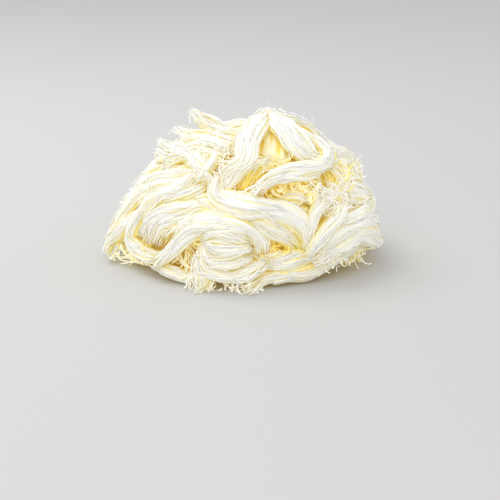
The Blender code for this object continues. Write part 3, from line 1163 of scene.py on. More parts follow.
def tube_faces(count: int, steps: int, sides: int) -> tuple[np.ndarray, np.ndarray]:
    """Joins the rings of closed tubes with faces.

    Args:
        count: how many tubes there are.
        steps: how many rings a tube has.
        sides: how many points a ring has.

    Returns:
        The corners of the faces, one face after the other, and how many corners each face has.
    """
    ring = np.arange(sides)
    after = (ring + 1) % sides
    base = ((np.arange(count)[:, None] * steps + np.arange(steps - 1)) * sides)[..., None]
    quads = np.stack([base + ring, base + sides + ring, base + sides + after, base + after], -1)
    starts = np.arange(count)[:, None] * steps * sides
    ends = starts + (steps - 1) * sides
    corners = np.concatenate([quads.ravel(), (starts + ring).ravel(), (ends + ring[::-1]).ravel()])
    return corners, np.concatenate([np.full(quads.size // 4, 4), np.full(2 * count, sides)])


class MeshMaker:
    """Turns points and faces into a piece that rides on the heap's body."""

    def __init__(self, mound: Mound, shelter: Shelter) -> None:
        """Keeps what every mesh needs.

        Args:
            mound: the mound, for its place in the frame.
            shelter: how hidden from the light each place is.
        """
        self.mound = mound
        self.shelter = shelter

    def piece(
        self,
        name: str,
        points: np.ndarray,
        corners: np.ndarray,
        counts: np.ndarray,
        marks: dict[str, np.ndarray],
        material: bpy.types.Material,
    ) -> bpy.types.Object:
        """Makes a piece.

        Args:
            name: its name.
            points: its points, in millimetres.
            corners: the points of its faces, one face after the other.
            counts: how many corners each face has.
            marks: what each point is marked with, by name.
            material: its material.

        Returns:
            The piece.
        """
        mesh = bpy.data.meshes.new(name)
        mesh.vertices.add(len(points))
        mesh.vertices.foreach_set("co", self.mound.to_frame(points).astype(np.float32).ravel())
        mesh.loops.add(len(corners))
        mesh.loops.foreach_set("vertex_index", corners.astype(np.int32))
        mesh.polygons.add(len(counts))
        starts = np.concatenate([[0], np.cumsum(counts)[:-1]]).astype(np.int32)
        mesh.polygons.foreach_set("loop_start", starts)
        mesh.update(calc_edges=True)
        mesh.validate()
        for mark, values in marks.items():
            kind = "FLOAT" if values.ndim == 1 else "FLOAT_VECTOR"
            attribute = mesh.attributes.new(mark, kind, "POINT")
            key = "value" if values.ndim == 1 else "vector"
            attribute.data.foreach_set(key, values.astype(np.float32).ravel())
        mesh.shade_smooth()
        mesh.materials.append(material)
        piece = bpy.data.objects.new(name, mesh)
        bpy.context.scene.collection.objects.link(piece)
        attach(piece, "root")
        log.info("%s: %d points, %d triangles", name, len(points), int(np.sum(counts - 2)))
        return piece

    def _swept(
        self, strands: Strands, section: Section, chance: np.random.Generator
    ) -> tuple[np.ndarray, dict[str, np.ndarray]]:
        """Sweeps a section along some strands.

        Args:
            strands: the strands.
            section: the section.
            chance: the source of random draws.

        Returns:
            The points, as (strands, points, sides, 3), and what each is marked with, by name.
        """
        count, steps, _ = strands.points.shape
        along = unit(np.gradient(strands.points, axis=1))
        side = unit(np.cross(along, strands.facing))
        rise = np.cross(side, along)
        angle = 2 * math.pi * (np.arange(section.sides) / section.sides + chance.uniform(0, 1, (count, 1, 1)))
        travel = np.zeros((count, steps, 1))
        travel[:, 1:, 0] = np.cumsum(np.linalg.norm(np.diff(strands.points, axis=1), axis=-1), axis=1)
        reach = strands.radii[..., None]
        flatness = np.broadcast_to(strands.flatness, strands.radii.shape)[..., None]
        relief = strands.relief(angle, travel, chance)
        wide = np.cos(angle) * (reach * flatness + relief)
        thin = np.sin(angle) * (reach + relief)
        place = strands.points[:, :, None] + side[:, :, None] * wide[..., None]
        place = place + rise[:, :, None] * thin[..., None]
        place[..., 2] = np.maximum(place[..., 2], LOWEST)

        own = chance.uniform(0, 100, (count, 1, 1))
        grain = np.stack(np.broadcast_arrays(travel + own, wide + own, thin + own), axis=-1)
        if section.sides > FINE_SIDES:
            facing = np.cos(angle)[..., None] * side[:, :, None] / flatness[..., None]
            facing = unit(facing + np.sin(angle)[..., None] * rise[:, :, None])
            hidden = self.shelter.at(place + SHELTER_OFF * facing, facing)
        else:
            hidden = self.shelter.at(strands.points, strands.outward)[..., None]
        # Painted shade: the flanks that turn from the way out, and a ridged sheet's furrows, are marked more
        # hidden, so they are painted more golden.
        lean_side = np.sum(side * strands.outward, axis=-1)[..., None]
        lean_rise = np.sum(rise * strands.outward, axis=-1)[..., None]
        aside = np.clip(FLANKS_FROM - np.cos(angle) * lean_side - np.sin(angle) * lean_rise, 0, 1)
        hidden = hidden + section.flank * aside
        if strands.ridge:
            hidden = hidden + section.flank * np.clip(-relief / strands.ridge, 0, 1)
        marks = {
            "tone": np.repeat(strands.tone, steps * section.sides),
            "painted_shade_bias": np.repeat(strands.painted_shade_bias, steps * section.sides),
            "grain": grain.reshape(-1, 3),
            "shelter": hidden.ravel(),
        }
        return place, marks

    def tubes(
        self, name: str, groups: list[Strands], cut: Cut, material: bpy.types.Material
    ) -> bpy.types.Object:
        """Makes a piece of many closed tubes.

        Args:
            name: its name.
            groups: the strands to sweep.
            cut: the section that they have.
            material: its material.

        Returns:
            The piece.
        """
        chance = np.random.default_rng(len(name))
        points, corners, counts, marks, first = [], [], [], [], 0
        for strands in groups:
            place, own_marks = self._swept(strands, cut.value, chance)
            own_corners, own_counts = tube_faces(*place.shape[:3])
            points.append(place.reshape(-1, 3))
            corners.append(first + own_corners)
            counts.append(own_counts)
            marks.append(own_marks)
            first += len(points[-1])
        joined = {mark: np.concatenate([own[mark] for own in marks]) for mark in marks[0]}
        return self.piece(
            name, np.concatenate(points), np.concatenate(corners), np.concatenate(counts), joined, material
        )


class NodeMaker:
    """Places and joins shader nodes in one tree."""

    def __init__(self, tree: bpy.types.NodeTree) -> None:
        """Keeps the tree that the nodes go into."""
        self.tree = tree

    def add(self, kind: str, **values: object) -> bpy.types.Node:
        """Adds a node.

        Args:
            kind: the node's type.
            values: settings of the node itself.

        Returns:
            The node.
        """
        node = self.tree.nodes.new(kind)
        for key, value in values.items():
            setattr(node, key, value)
        return node

    def join(self, output: bpy.types.NodeSocket, target: bpy.types.NodeSocket) -> None:
        """Links an output to an input."""
        self.tree.links.new(output, target)

    def math(self, operation: str, first: Value, second: Value) -> bpy.types.NodeSocket:
        """Adds a sum of two values, each a socket or a number.

        Args:
            operation: the kind of sum.
            first: its first value.
            second: its second value.

        Returns:
            The result's socket.
        """
        node = self.add("ShaderNodeMath", operation=operation)
        for socket, value in zip(node.inputs, (first, second)):
            if isinstance(value, bpy.types.NodeSocket):
                self.join(value, socket)
            else:
                socket.default_value = value
        return node.outputs[0]

    def mark(self, name: str) -> bpy.types.Node:
        """Adds a node that reads what the points are marked with."""
        return self.add("ShaderNodeAttribute", attribute_name=name)

    def noise(self, vector: bpy.types.NodeSocket, scale: float, detail: float) -> bpy.types.NodeSocket:
        """Adds a noise.

        Args:
            vector: where it is read.
            scale: its scale.
            detail: its detail.

        Returns:
            Its value's socket.
        """
        node = self.add("ShaderNodeTexNoise")
        node.inputs["Scale"].default_value = scale
        node.inputs["Detail"].default_value = detail
        self.join(vector, node.inputs["Vector"])
        return node.outputs[0]

    def stretch(self, vector: bpy.types.NodeSocket, scale: Triple) -> bpy.types.NodeSocket:
        """Adds a scaling of a place.

        Args:
            vector: the place.
            scale: the scale along each axis.

        Returns:
            The scaled place's socket.
        """
        node = self.add("ShaderNodeVectorMath", operation="MULTIPLY")
        node.inputs[1].default_value = scale
        self.join(vector, node.inputs[0])
        return node.outputs[0]

    def between(self, share: bpy.types.NodeSocket, low: Tint, high: Tint) -> bpy.types.NodeSocket:
        """Adds a mix of two colours, each a socket or a colour.

        Args:
            share: how much of the second there is.
            low: the first colour.
            high: the second colour.

        Returns:
            The mixed colour's socket.
        """
        node = self.add("ShaderNodeMix", data_type="RGBA")
        self.join(share, node.inputs[0])
        for socket, value in ((node.inputs[6], low), (node.inputs[7], high)):
            if isinstance(value, bpy.types.NodeSocket):
                self.join(value, socket)
            else:
                socket.default_value = value
        return node.outputs[2]


def value_group(name: str, inputs: Sequence[str], outputs: Sequence[str]) -> bpy.types.NodeTree:
    """Starts a node group whose inputs and outputs are all values.

    Args:
        name: the group's name.
        inputs: the names of its inputs.
        outputs: the names of its outputs.

    Returns:
        The node group, without nodes.
    """
    group = bpy.data.node_groups.new(name, "ShaderNodeTree")
    for way, names in (("INPUT", inputs), ("OUTPUT", outputs)):
        for socket in names:
            group.interface.new_socket(socket, in_out=way, socket_type="NodeSocketFloat")
    return group


def painted_shade_group(spots: float = 70.0, mottling: float = 0.25, deepest: float = 0.9) -> bpy.types.NodeTree:
    """Builds the group of painted shade, golden and then amber where the cheese is hidden from the light.

    Args:
        spots: how fine its mottling is, in spots to the metre.
        mottling: how strong that is.
        deepest: how golden a place is where it starts to turn amber, and how quickly it does from there.

    Returns:
        The node group, with the outputs Gold and Deep of painted shade, each from 0 to 1.
    """
    group = value_group("cheese_painted_shade", ("Sheltered From", "Sheltered To", "Furrow"), ("Gold", "Deep"))
    make = NodeMaker(group)
    given, result = make.add("NodeGroupInput"), make.add("NodeGroupOutput")
    hidden = make.mark("shelter").outputs["Fac"]
    painted_shade_bias = make.mark("painted_shade_bias").outputs["Fac"]
    place = make.add("ShaderNodeNewGeometry").outputs["Position"]
    mottle = make.math("SUBTRACT", make.noise(place, spots, 3.0), 0.5)
    span = make.math("SUBTRACT", given.outputs["Sheltered To"], given.outputs["Sheltered From"])
    deep = make.math("DIVIDE", make.math("SUBTRACT", hidden, given.outputs["Sheltered From"]), span)
    # Painted shade: how hidden the place is, the strand's bias and the furrow add up to how golden it is
    # painted.
    shade_total = make.math("ADD", make.math("ADD", deep, painted_shade_bias), given.outputs["Furrow"])
    mottled = make.math("ADD", shade_total, make.math("MULTIPLY", mottle, mottling))
    beyond = make.math("MULTIPLY", make.math("SUBTRACT", mottled, deepest), deepest)
    for value, name in ((mottled, "Gold"), (beyond, "Deep")):
        clamp = make.add("ShaderNodeClamp")
        make.join(value, clamp.inputs["Value"])
        make.join(clamp.outputs["Result"], result.inputs[name])
    return group


def grain_group(streaks: Triple = (0.09, 1.9, 1.9), shades: Triple = (0.05, 0.3, 0.3)) -> bpy.types.NodeTree:
    """Builds the group of fine streaks that run along a strand.

    Args:
        streaks: how close the streaks are along, across and through a strand, to the millimetre.
        shades: how close its darker and paler stretches are.

    Returns:
        The node group, with the outputs Streak and Shade, each from 0 to 1.
    """
    group = value_group("fibre_grain", (), ("Streak", "Shade"))
    make = NodeMaker(group)
    result = make.add("NodeGroupOutput")
    grain = make.mark("grain").outputs["Vector"]
    tone = make.math("MULTIPLY", make.mark("tone").outputs["Fac"], TONE_SHARE)
    slow = make.noise(make.stretch(grain, shades), 1.0, 2.0)
    make.join(make.noise(make.stretch(grain, streaks), 1.0, 3.0), result.inputs["Streak"])
    make.join(make.math("ADD", tone, slow), result.inputs["Shade"])
    return group


@dataclass(frozen=True)
class CheeseFinish:
    """A finish of the cheese.

    Attributes:
        name: the material's name.
        pale: the colour of its paler places, before any painted shade.
        cream: the colour of its darker fibres.
        gold: the golden painted shade of its hollows.
        amber: the painted shade of its deepest places.
        sheltered_from: how hidden from the light a place is where its golden painted shade starts.
        sheltered_to: how hidden from the light a place is where it is painted fully golden.
        roughness: its roughness.
        streak_depth: how deep its streaks are, in metres.
        translucency: the share of light that spreads inside it.
        furrow: how much more golden painted shade its furrows get than its ridges.
        glow: how strongly its golden places glow, a painted light for the light passed on from the cheese
            round them.
        shine: how strongly every place glows, a painted light that lifts its shade.
        relief: how strong its streaks are.
        scatter: how far red, green and blue light spread inside it, as shares of the depth.
        scatter_depth: that depth, in metres.
        gloss: how strongly it reflects.
    """

    name: str
    pale: Colour
    cream: Colour
    gold: Colour
    amber: Colour
    sheltered_from: float
    sheltered_to: float
    roughness: float
    streak_depth: float
    translucency: float
    furrow: float
    glow: float
    shine: float = 0.0
    relief: float = 0.6
    scatter: Triple = (1.0, 0.97, 0.9)
    scatter_depth: float = 0.0012
    gloss: float = 0.35

    def material(self, painted_shade: bpy.types.NodeTree, grain: bpy.types.NodeTree) -> bpy.types.Material:
        """Builds the material.

        Args:
            painted_shade: the group of painted shade, which tells how golden a place is painted.
            grain: the group of streaks.

        Returns:
            The material.
        """
        material = bpy.data.materials.new(self.name)
        material.use_nodes = True
        make = NodeMaker(material.node_tree)
        shader = material.node_tree.nodes["Principled BSDF"]
        gold = make.add("ShaderNodeGroup", node_tree=painted_shade)
        gold.inputs["Sheltered From"].default_value = self.sheltered_from
        gold.inputs["Sheltered To"].default_value = self.sheltered_to
        streaks = make.add("ShaderNodeGroup", node_tree=grain)
        # Painted shade: the furrows between the streaks are painted more golden.
        below = make.math("SUBTRACT", STREAK_MIDDLE, streaks.outputs["Streak"])
        furrow = make.math("MULTIPLY", below, self.furrow)
        make.join(furrow, gold.inputs["Furrow"])
        unshaded = make.between(streaks.outputs["Shade"], self.cream, self.pale)
        # Painted shade: golden, then amber, where the cheese is hidden from the light.
        shaded_colour = make.between(gold.outputs["Gold"], unshaded, self.gold)
        colour = make.between(gold.outputs["Deep"], shaded_colour, self.amber)
        make.join(colour, shader.inputs["Base Color"])
        # Painted light: the cheese glows in its own colour, more in its golden places and a little
        # everywhere, to lift its shade.
        make.join(colour, shader.inputs["Emission Color"])
        glow = make.math("ADD", make.math("MULTIPLY", gold.outputs["Gold"], self.glow), self.shine)
        make.join(glow, shader.inputs["Emission Strength"])
        bump = make.add("ShaderNodeBump")
        bump.inputs["Strength"].default_value = self.relief
        bump.inputs["Distance"].default_value = self.streak_depth
        make.join(streaks.outputs["Streak"], bump.inputs["Height"])
        make.join(bump.outputs["Normal"], shader.inputs["Normal"])
        shader.inputs["Roughness"].default_value = self.roughness
        shader.inputs["Subsurface Weight"].default_value = self.translucency
        shader.inputs["Subsurface Radius"].default_value = self.scatter
        shader.inputs["Subsurface Scale"].default_value = self.scatter_depth
        shader.inputs["Specular IOR Level"].default_value = self.gloss
        return material


# Each finish's gold and amber are painted shade, and its glow and shine painted light.
FIBRE_FINISH = CheeseFinish(
    name="cheese_fibre",
    pale=(0.925, 0.94, 0.985, 1.0),
    cream=(0.935, 0.93, 0.85, 1.0),
    gold=(0.93, 0.83, 0.28, 1.0),
    amber=(0.86, 0.66, 0.12, 1.0),
    sheltered_from=0.08,
    sheltered_to=0.34,
    roughness=0.42,
    streak_depth=0.00008,
    translucency=0.7,
    furrow=0.4,
    glow=0.05,
    shine=0.075,
)
# The curls glow more, as painted light that keeps the thin fibres bright in shade.
CURL_FINISH = CheeseFinish(
    name="cheese_curl",
    pale=(0.955, 0.955, 0.93, 1.0),
    cream=(0.955, 0.94, 0.83, 1.0),
    gold=(0.95, 0.845, 0.36, 1.0),
    amber=(0.91, 0.7, 0.165, 1.0),
    sheltered_from=0.04,
    sheltered_to=0.44,
    roughness=0.42,
    streak_depth=0.00008,
    translucency=0.7,
    furrow=0.4,
    glow=0.11,
    shine=0.11,
)
# The locks and sheets lie under the fibres: their streak furrows get much more golden painted shade.
LOCK_FINISH = CheeseFinish(
    name="cheese_lock",
    pale=(0.945, 0.945, 0.94, 1.0),
    cream=(0.94, 0.9, 0.75, 1.0),
    gold=(0.92, 0.8, 0.27, 1.0),
    amber=(0.87, 0.65, 0.12, 1.0),
    sheltered_from=0.1,
    sheltered_to=0.41,
    roughness=0.45,
    streak_depth=0.0004,
    translucency=0.7,
    furrow=2.0,
    glow=0.06,
    shine=0.045,
)
# The core shows only deep in the hollows, so its whole palette is golden painted shade.
CORE_FINISH = CheeseFinish(
    name="cheese_core",
    pale=(0.92, 0.82, 0.5, 1.0),
    cream=(0.91, 0.77, 0.4, 1.0),
    gold=(0.88, 0.71, 0.22, 1.0),
    amber=(0.82, 0.59, 0.1, 1.0),
    sheltered_from=0.2,
    sheltered_to=0.6,
    roughness=0.5,
    streak_depth=0.0006,
    translucency=0.5,
    furrow=1.0,
    glow=0.06,
)


@dataclass(frozen=True)
class HeapCore:
    """The smaller core under the fibres, with fibre-like ridges.

    Attributes:
        sectors: how many faces go round it.
        rings: how many rings go up it.
        inset: how far it lies inside the mound, in millimetres.
        ridge: how high its ridges are, in millimetres.
        up: the degrees up of its lowest and its highest ring.
        foot: how much narrower its underside is than its lowest ring, as a share.
        lift: how far it stays off the floor, in millimetres.
    """

    sectors: int = 130
    rings: int = 52
    inset: float = 1.5
    ridge: float = 1.8
    up: tuple[float, float] = (1.5, 89.0)
    foot: float = 0.97
    lift: float = 0.06

    def _relief(self, around: np.ndarray, up: np.ndarray) -> np.ndarray:
        """Gives the height of the ridges over the core's side.

        Args:
            around: the angles round from the front, in radians.
            up: the angles up the side, in radians.

        Returns:
            The height, in millimetres.
        """
        slant = around * 9 + 5 * np.sin(2.1 * around + 3 * up) + 11 * up
        cross = around * 6 - 4 * np.sin(3 * around - 2 * up) - 14 * up
        fine = 0.5 * np.sin(7 * slant + 4 * np.sin(cross)) + 0.4 * np.sin(9 * cross)
        fade = np.cos(up) ** 0.5
        return self.ridge * fade * (0.5 * np.sin(2 * slant) + 0.4 * np.sin(2 * cross) + 0.3 * fine)

    def build(self, maker: MeshMaker, material: bpy.types.Material) -> bpy.types.Object:
        """Makes the core, which stands for the solid of the heap.

        Args:
            maker: the mesh maker.
            material: its material.

        Returns:
            The core.
        """
        mound = maker.mound
        around = np.linspace(0, 2 * math.pi, self.sectors, endpoint=False)
        up = np.radians(np.linspace(*self.up, self.rings))
        up_grid, around_grid = np.meshgrid(up, around, indexing="ij")
        place = mound.side(around_grid, up_grid)
        relief = self._relief(around_grid, up_grid) - self.inset
        place = place + mound.outward(place) * relief[..., None]
        place = np.concatenate([place[:1] * np.array([self.foot, self.foot, 0.0]), place])
        place[..., 2] = np.maximum(place[..., 2], self.lift)
        # Its rings run the other way round from a tube's, so the faces are turned over.
        corners, counts = (values[::-1] for values in tube_faces(1, len(place), self.sectors))
        points = place.reshape(-1, 3)
        blank = np.zeros(len(points))
        hidden = maker.shelter.at(points, mound.outward(points))
        # The core gets a little more golden painted shade than its place gives it.
        marks = {"tone": blank, "painted_shade_bias": blank + 0.1, "grain": points, "shelter": hidden}
        core = maker.piece("heap_core", points, corners, counts, marks, material)
        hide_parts(NODE)
        return core


@dataclass(frozen=True)
class UnderLayer:
    """Short thin hanks that lie close over the core and show in the hollows between the others.

    Attributes:
        seed: the seed of its random draws.
        count: how many hanks it has.
        lowest: the height of the lowest, as a share of the highest.
        reach: half the length of the shortest and the longest, in degrees.
        bow: how far they bend aside, in degrees.
        up: how far down and up they reach, in degrees up.
        width: the width of the narrowest and the widest, in millimetres.
        thickness: the thickness of the thinnest and the thickest, in millimetres.
    """

    seed: int = 23
    count: int = 130
    lowest: float = 0.03
    reach: tuple[float, float] = (12.0, 22.0)
    bow: float = 9.0
    up: tuple[float, float] = (2.0, 86.0)
    width: tuple[float, float] = (6.0, 10.0)
    thickness: tuple[float, float] = (5.0, 6.0)

    def hanks(self) -> list[Hank]:
        """Draws the hanks, evenly over the mound and turned every way.

        Returns:
            The hanks.
        """
        chance = np.random.default_rng(self.seed)
        hanks = []
        for index in range(self.count):
            height = self.lowest + (1 - self.lowest) * (index + 0.5) / self.count
            up = math.degrees(math.asin(height))
            around = math.degrees(index * GOLDEN_ANGLE)
            turn = chance.uniform(0, math.pi)
            reach = chance.uniform(*self.reach)
            widen = 1 / max(0.35, math.cos(math.radians(up)))
            bow = chance.uniform(-self.bow, self.bow)
            stations = []
            for share, off in ((-1, -1.0), (-0.3, 2.4), (0.4, 3.0), (1, -0.5)):
                side = bow * (1 - share * share)
                across = share * reach * math.cos(turn) - side * math.sin(turn)
                rise = share * reach * math.sin(turn) + side * math.cos(turn)
                climb = min(self.up[1], max(self.up[0], up + rise))
                stations.append((around + across * widen, climb, off))
            width, thickness = chance.uniform(*self.width), chance.uniform(*self.thickness)
            # The under layer shows in the hollows, so its hanks get more golden painted shade.
            hanks.append(
                Hank(f"under_{index + 1}", width, thickness, tuple(stations), frizz=0.9, painted_shade_bias=0.3)
            )
        return hanks


@dataclass(frozen=True)
class Surface:
    """The outline of the heap, which loose fibres lie on.

    Attributes:
        tree: the solid's faces, in the model's frame.
        mound: the mound, for its place in the frame.
    """

    tree: BVHTree
    mound: Mound

    @classmethod
    def of_solid(cls, mound: Mound) -> "Surface":
        """Takes the outline from the solid of the heap.

        Args:
            mound: the mound, for its place in the frame.

        Returns:
            The outline.
        """
        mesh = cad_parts[NODE].data
        corners = [vertex.co for vertex in mesh.vertices]
        faces = [tuple(face.vertices) for face in mesh.polygons]
        return cls(BVHTree.FromPolygons(corners, faces), mound)

    def drawn_to(self, point: np.ndarray, off: float) -> tuple[np.ndarray, np.ndarray]:
        """Draws a point to the outline.

        Args:
            point: the point, in millimetres from the mound's middle.
            off: how far off the outline it ends.

        Returns:
            The point and the direction away from the heap there.
        """
        place, normal, _, _ = self.tree.find_nearest(Vector(self.mound.to_frame(point)))
        outward = np.array(normal)
        spot = np.array(place) / MM + np.array([*self.mound.middle, 0.0])
        return spot + off * outward, outward


@dataclass(frozen=True)
class LooseFibres:
    """Single fibres that lie over the hanks and wander from one to the next.

    Attributes:
        seed: the seed of their random draws.
        count: how many there are.
        points: how many points each has.
        step: the distance between its points, in millimetres.
        radius: half its thickness, in millimetres.
        off: the least and the most that one lies off the outline, in millimetres.
        scatter: how far it starts away from the way of the fibre that it starts on.
        bend: how sharply it bends at its start.
        sway: how much that changes from point to point.
    """

    seed: int = 31
    count: int = 150
    points: int = 9
    step: float = 3.0
    radius: float = 0.32
    off: tuple[float, float] = (0.4, 1.6)
    scatter: float = 0.35
    bend: float = 0.09
    sway: float = 0.05

    def strands(self, surface: Surface, laid: list[Strands]) -> Strands:
        """Lays the fibres over the heap's outline.

        Args:
            surface: the outline.
            laid: the hanks' own fibres, which they start on and run along with.

        Returns:
            The loose fibres.
        """
        chance = np.random.default_rng(self.seed)
        lines, outwards = [], []
        for _ in range(self.count):
            group = laid[chance.integers(len(laid))]
            fibre = chance.integers(group.points.shape[0])
            at = chance.integers(1, group.points.shape[1] - 2)
            spot = group.points[fibre, at]
            heading = unit(group.points[fibre, at + 1] - spot) * chance.choice((-1, 1))
            heading = unit(heading + chance.normal(0, self.scatter, 3))
            bend = chance.normal(0, self.bend)
            off = chance.uniform(*self.off)
            line, outs = [], []
            for _ in range(self.points):
                spot, outward = surface.drawn_to(spot, off)
                line.append(spot)
                outs.append(outward)
                sideways = np.cross(heading, outward)
                bend += chance.normal(0, self.sway)
                heading = unit(heading - outward * (heading @ outward) + sideways * bend)
                spot = spot + heading * self.step
            lines.append(line)
            outwards.append(outs)
        points, outward = np.array(lines), np.array(outwards)
        smooth = points.copy()
        smooth[:, 1:-1] = (points[:, :-2] + 2 * points[:, 1:-1] + points[:, 2:]) / 4
        radii = self.radius * chance.uniform(0.7, 1.3, (self.count, 1)) * np.ones(self.points)
        radii[:, [0, -1]] *= 0.4
        lift_off_floor(smooth, radii)
        tone = chance.normal(0.3, 0.4, self.count)
        return Strands(smooth, outward, outward, radii, 1.0, tone, np.zeros(self.count))


@dataclass(frozen=True)
class Curls:
    """A patch of small curly fibres that stand out of the heap.

    Attributes:
        place: where its middle is, as (degrees round from the front, degrees up, millimetres off).
        spread: how far it reaches, in degrees round, degrees up and millimetres off.
        count: how many fibres it has.
        length: the shortest and the longest of them, in millimetres.
        radius: half a fibre's thickness, in millimetres.
        heading: which way they start, in degrees up from straight to the right.
        scatter: how far they turn from that, in degrees.
        curl: how sharply they bend, in turns per millimetre.
        knob: how many times thicker their ends are.
        painted_shade_bias: how much more golden painted shade they get than their place gives them.
        lift: how far they start away from the heap, as a share of their heading.
        hold: how firmly they keep to their distance off the mound.
    """

    place: Station
    spread: Station
    count: int
    length: tuple[float, float] = (6.0, 14.0)
    radius: float = 0.3
    heading: float = 0.0
    scatter: float = 180.0
    curl: float = 0.35
    knob: float = 1.2
    painted_shade_bias: float = 0.0
    lift: float = 0.3
    hold: float = 0.02

    def strands(self, mound: Mound, chance: np.random.Generator, points: int = 11) -> Strands:
        """Lets each fibre wander from its root.

        Args:
            mound: the mound that they stand on.
            chance: the source of random draws.
            points: how many points each fibre has.

        Returns:
            The fibres.
        """
        angles = np.array(self.place) + np.array(self.spread) * chance.uniform(-1, 1, (self.count, 3))
        spot = np.array([mound.point(*angle) for angle in angles])
        off = angles[:, 2:]
        outward = mound.outward(spot)
        right = unit(np.cross(UP, outward) + 1e-6)
        rise = np.cross(outward, right)
        start = np.radians(self.heading + self.scatter * chance.uniform(-1, 1, (self.count, 1)))
        lift = self.lift * chance.uniform(-0.5, 1, (self.count, 1))
        heading = unit(np.cos(start) * right + np.sin(start) * rise + lift * outward)
        step = chance.uniform(*self.length, (self.count, 1)) / (points - 1)
        bend = chance.normal(0, self.curl, (self.count, 3))
        line, outs = [], []
        for _ in range(points):
            line.append(spot)
            outs.append(outward)
            spot = spot + heading * step
            past, gradient = mound.gradient(spot)
            steepness = np.linalg.norm(gradient, axis=1, keepdims=True)
            outward = gradient / steepness
            strayed = past[:, None] / steepness - off
            bend = bend * 0.85 + chance.normal(0, 0.5 * self.curl, (self.count, 3))
            bend = bend - heading * np.sum(bend * heading, axis=1, keepdims=True)
            heading = unit(heading + (bend - outward * self.hold * strayed) * step)
        share = np.linspace(0, 1, points)
        radii = self.radius * chance.uniform(0.65, 1.35, (self.count, 1))
        radii = radii * (1 + (self.knob - 1) * ease(share * 3 - 2))
        radii[:, [0, -1]] *= 0.55
        place, outwards = np.stack(line, axis=1), np.stack(outs, axis=1)
        lift_off_floor(place, radii)
        tone = chance.normal(0.2, 0.45, self.count)
        return Strands(place, outwards, outwards, radii, 1.15, tone, np.full(self.count, self.painted_shade_bias))


# Curls in the hollows, most of them with extra golden painted shade.
HOLLOW_CURLS = (
    # The pocket, and the hollow below it on the left.
    Curls((14, 48, 10), (6, 2.5, 2), 22, (7, 15), 0.26, curl=0.25, painted_shade_bias=0.45),
    Curls((-1, 40, 5), (6, 6, 3), 50, (6, 14), 0.3, heading=70, scatter=70, curl=0.2, painted_shade_bias=0.7),
    # The wide hollow under the bow, and the golden side above the right knob.
    Curls((26, 36, 5), (13, 6, 3), 50, (5, 13), 0.42, curl=0.22, painted_shade_bias=0.5),
    Curls((27, 33, 7), (12, 5, 2), 22, (5, 11), 0.9, curl=0.1, painted_shade_bias=0.2),
    Curls((28, 31, 9), (12, 4, 2), 14, (6, 14), 0.3, curl=0.2),
    Curls((57, 39, 7), (8, 7, 2), 70, (8, 18), 0.28, heading=-70, scatter=25, curl=0.12, painted_shade_bias=1.3),
    # Under the arch, inside the left loop, beside the coil, and between the ropes.
    Curls((-26, 12, 8), (6, 6, 3), 60, (7, 16), 0.26, heading=-80, scatter=40, curl=0.12, painted_shade_bias=0.2),
    Curls((-57, 9, 8), (8, 4, 3), 40, (4, 10), 0.28, heading=-60, scatter=60, curl=0.12, painted_shade_bias=0.9),
    Curls((12, 11, 7), (10, 4, 3), 80, (6, 14), 0.3, heading=-50, scatter=80, curl=0.16, painted_shade_bias=1.2),
    Curls((20, 21, 8), (6, 4, 3), 50, (5, 12), 0.3, curl=0.2, painted_shade_bias=0.2),
)
# Curls in the open: the upper ones get less golden painted shade so that they stay pale as if lit, and the
# two fringes at the foot get more.
PALE_CURLS = (
    # The frizz right of the hollow, the right shoulder, and the left of the crown.
    Curls((47, 28, 11), (8, 5, 2.5), 150, (8, 20), 0.24, curl=0.33, painted_shade_bias=-0.6),
    Curls((70, 41, 9), (10, 5, 2), 90, (7, 15), 0.27, heading=-60, scatter=30, curl=0.12, painted_shade_bias=-0.5),
    Curls((65, 21, 12), (6, 3, 2), 40, (6, 14), 0.26, curl=0.25, painted_shade_bias=-0.5),
    Curls((-28, 49, 10), (16, 8, 2), 110, (7, 16), 0.26, curl=0.25, painted_shade_bias=-0.3),
    Curls((-57, 48, 10), (23, 6, 2), 50, (4, 10), 0.24, heading=150, scatter=60, curl=0.25),
    # Round the foot: the left loop, the front's spikes and knobs, and the fringe of the skirt.
    Curls((-40, 5, 10), (11, 3, 2), 9, (2, 5), 0.34, heading=-90, scatter=50, curl=0.3, knob=1.5),
    Curls((-16, 3, 16), (6, 2, 2), 36, (6, 13), 0.36, heading=-115, scatter=30, curl=0.07, knob=0.6),
    Curls((-1, 2, 16), (7, 2, 3), 34, (4, 9), 0.42, heading=-90, scatter=60, curl=0.2, knob=1.6),
    Curls((49, 6, 14), (15, 3, 2), 40, (3, 10), 0.27, heading=-80, scatter=50, curl=0.3, knob=1.6),
    Curls((76, 9, 13), (8, 4, 2), 24, (3, 7), 0.4, heading=-60, scatter=80, curl=0.3, knob=1.6),
    Curls((-77, 4, 13), (6, 3, 3), 22, (3, 8), 0.46, heading=-110, scatter=60, curl=0.3, knob=1.5),
    Curls((-60, 4, 4), (12, 3, 2), 56, (12, 22), 0.5, heading=175, scatter=22, curl=0.06, painted_shade_bias=0.3),
    Curls((84, 3, 4), (12, 3, 2), 44, (12, 22), 0.5, heading=175, scatter=22, curl=0.06, painted_shade_bias=0.3),
)


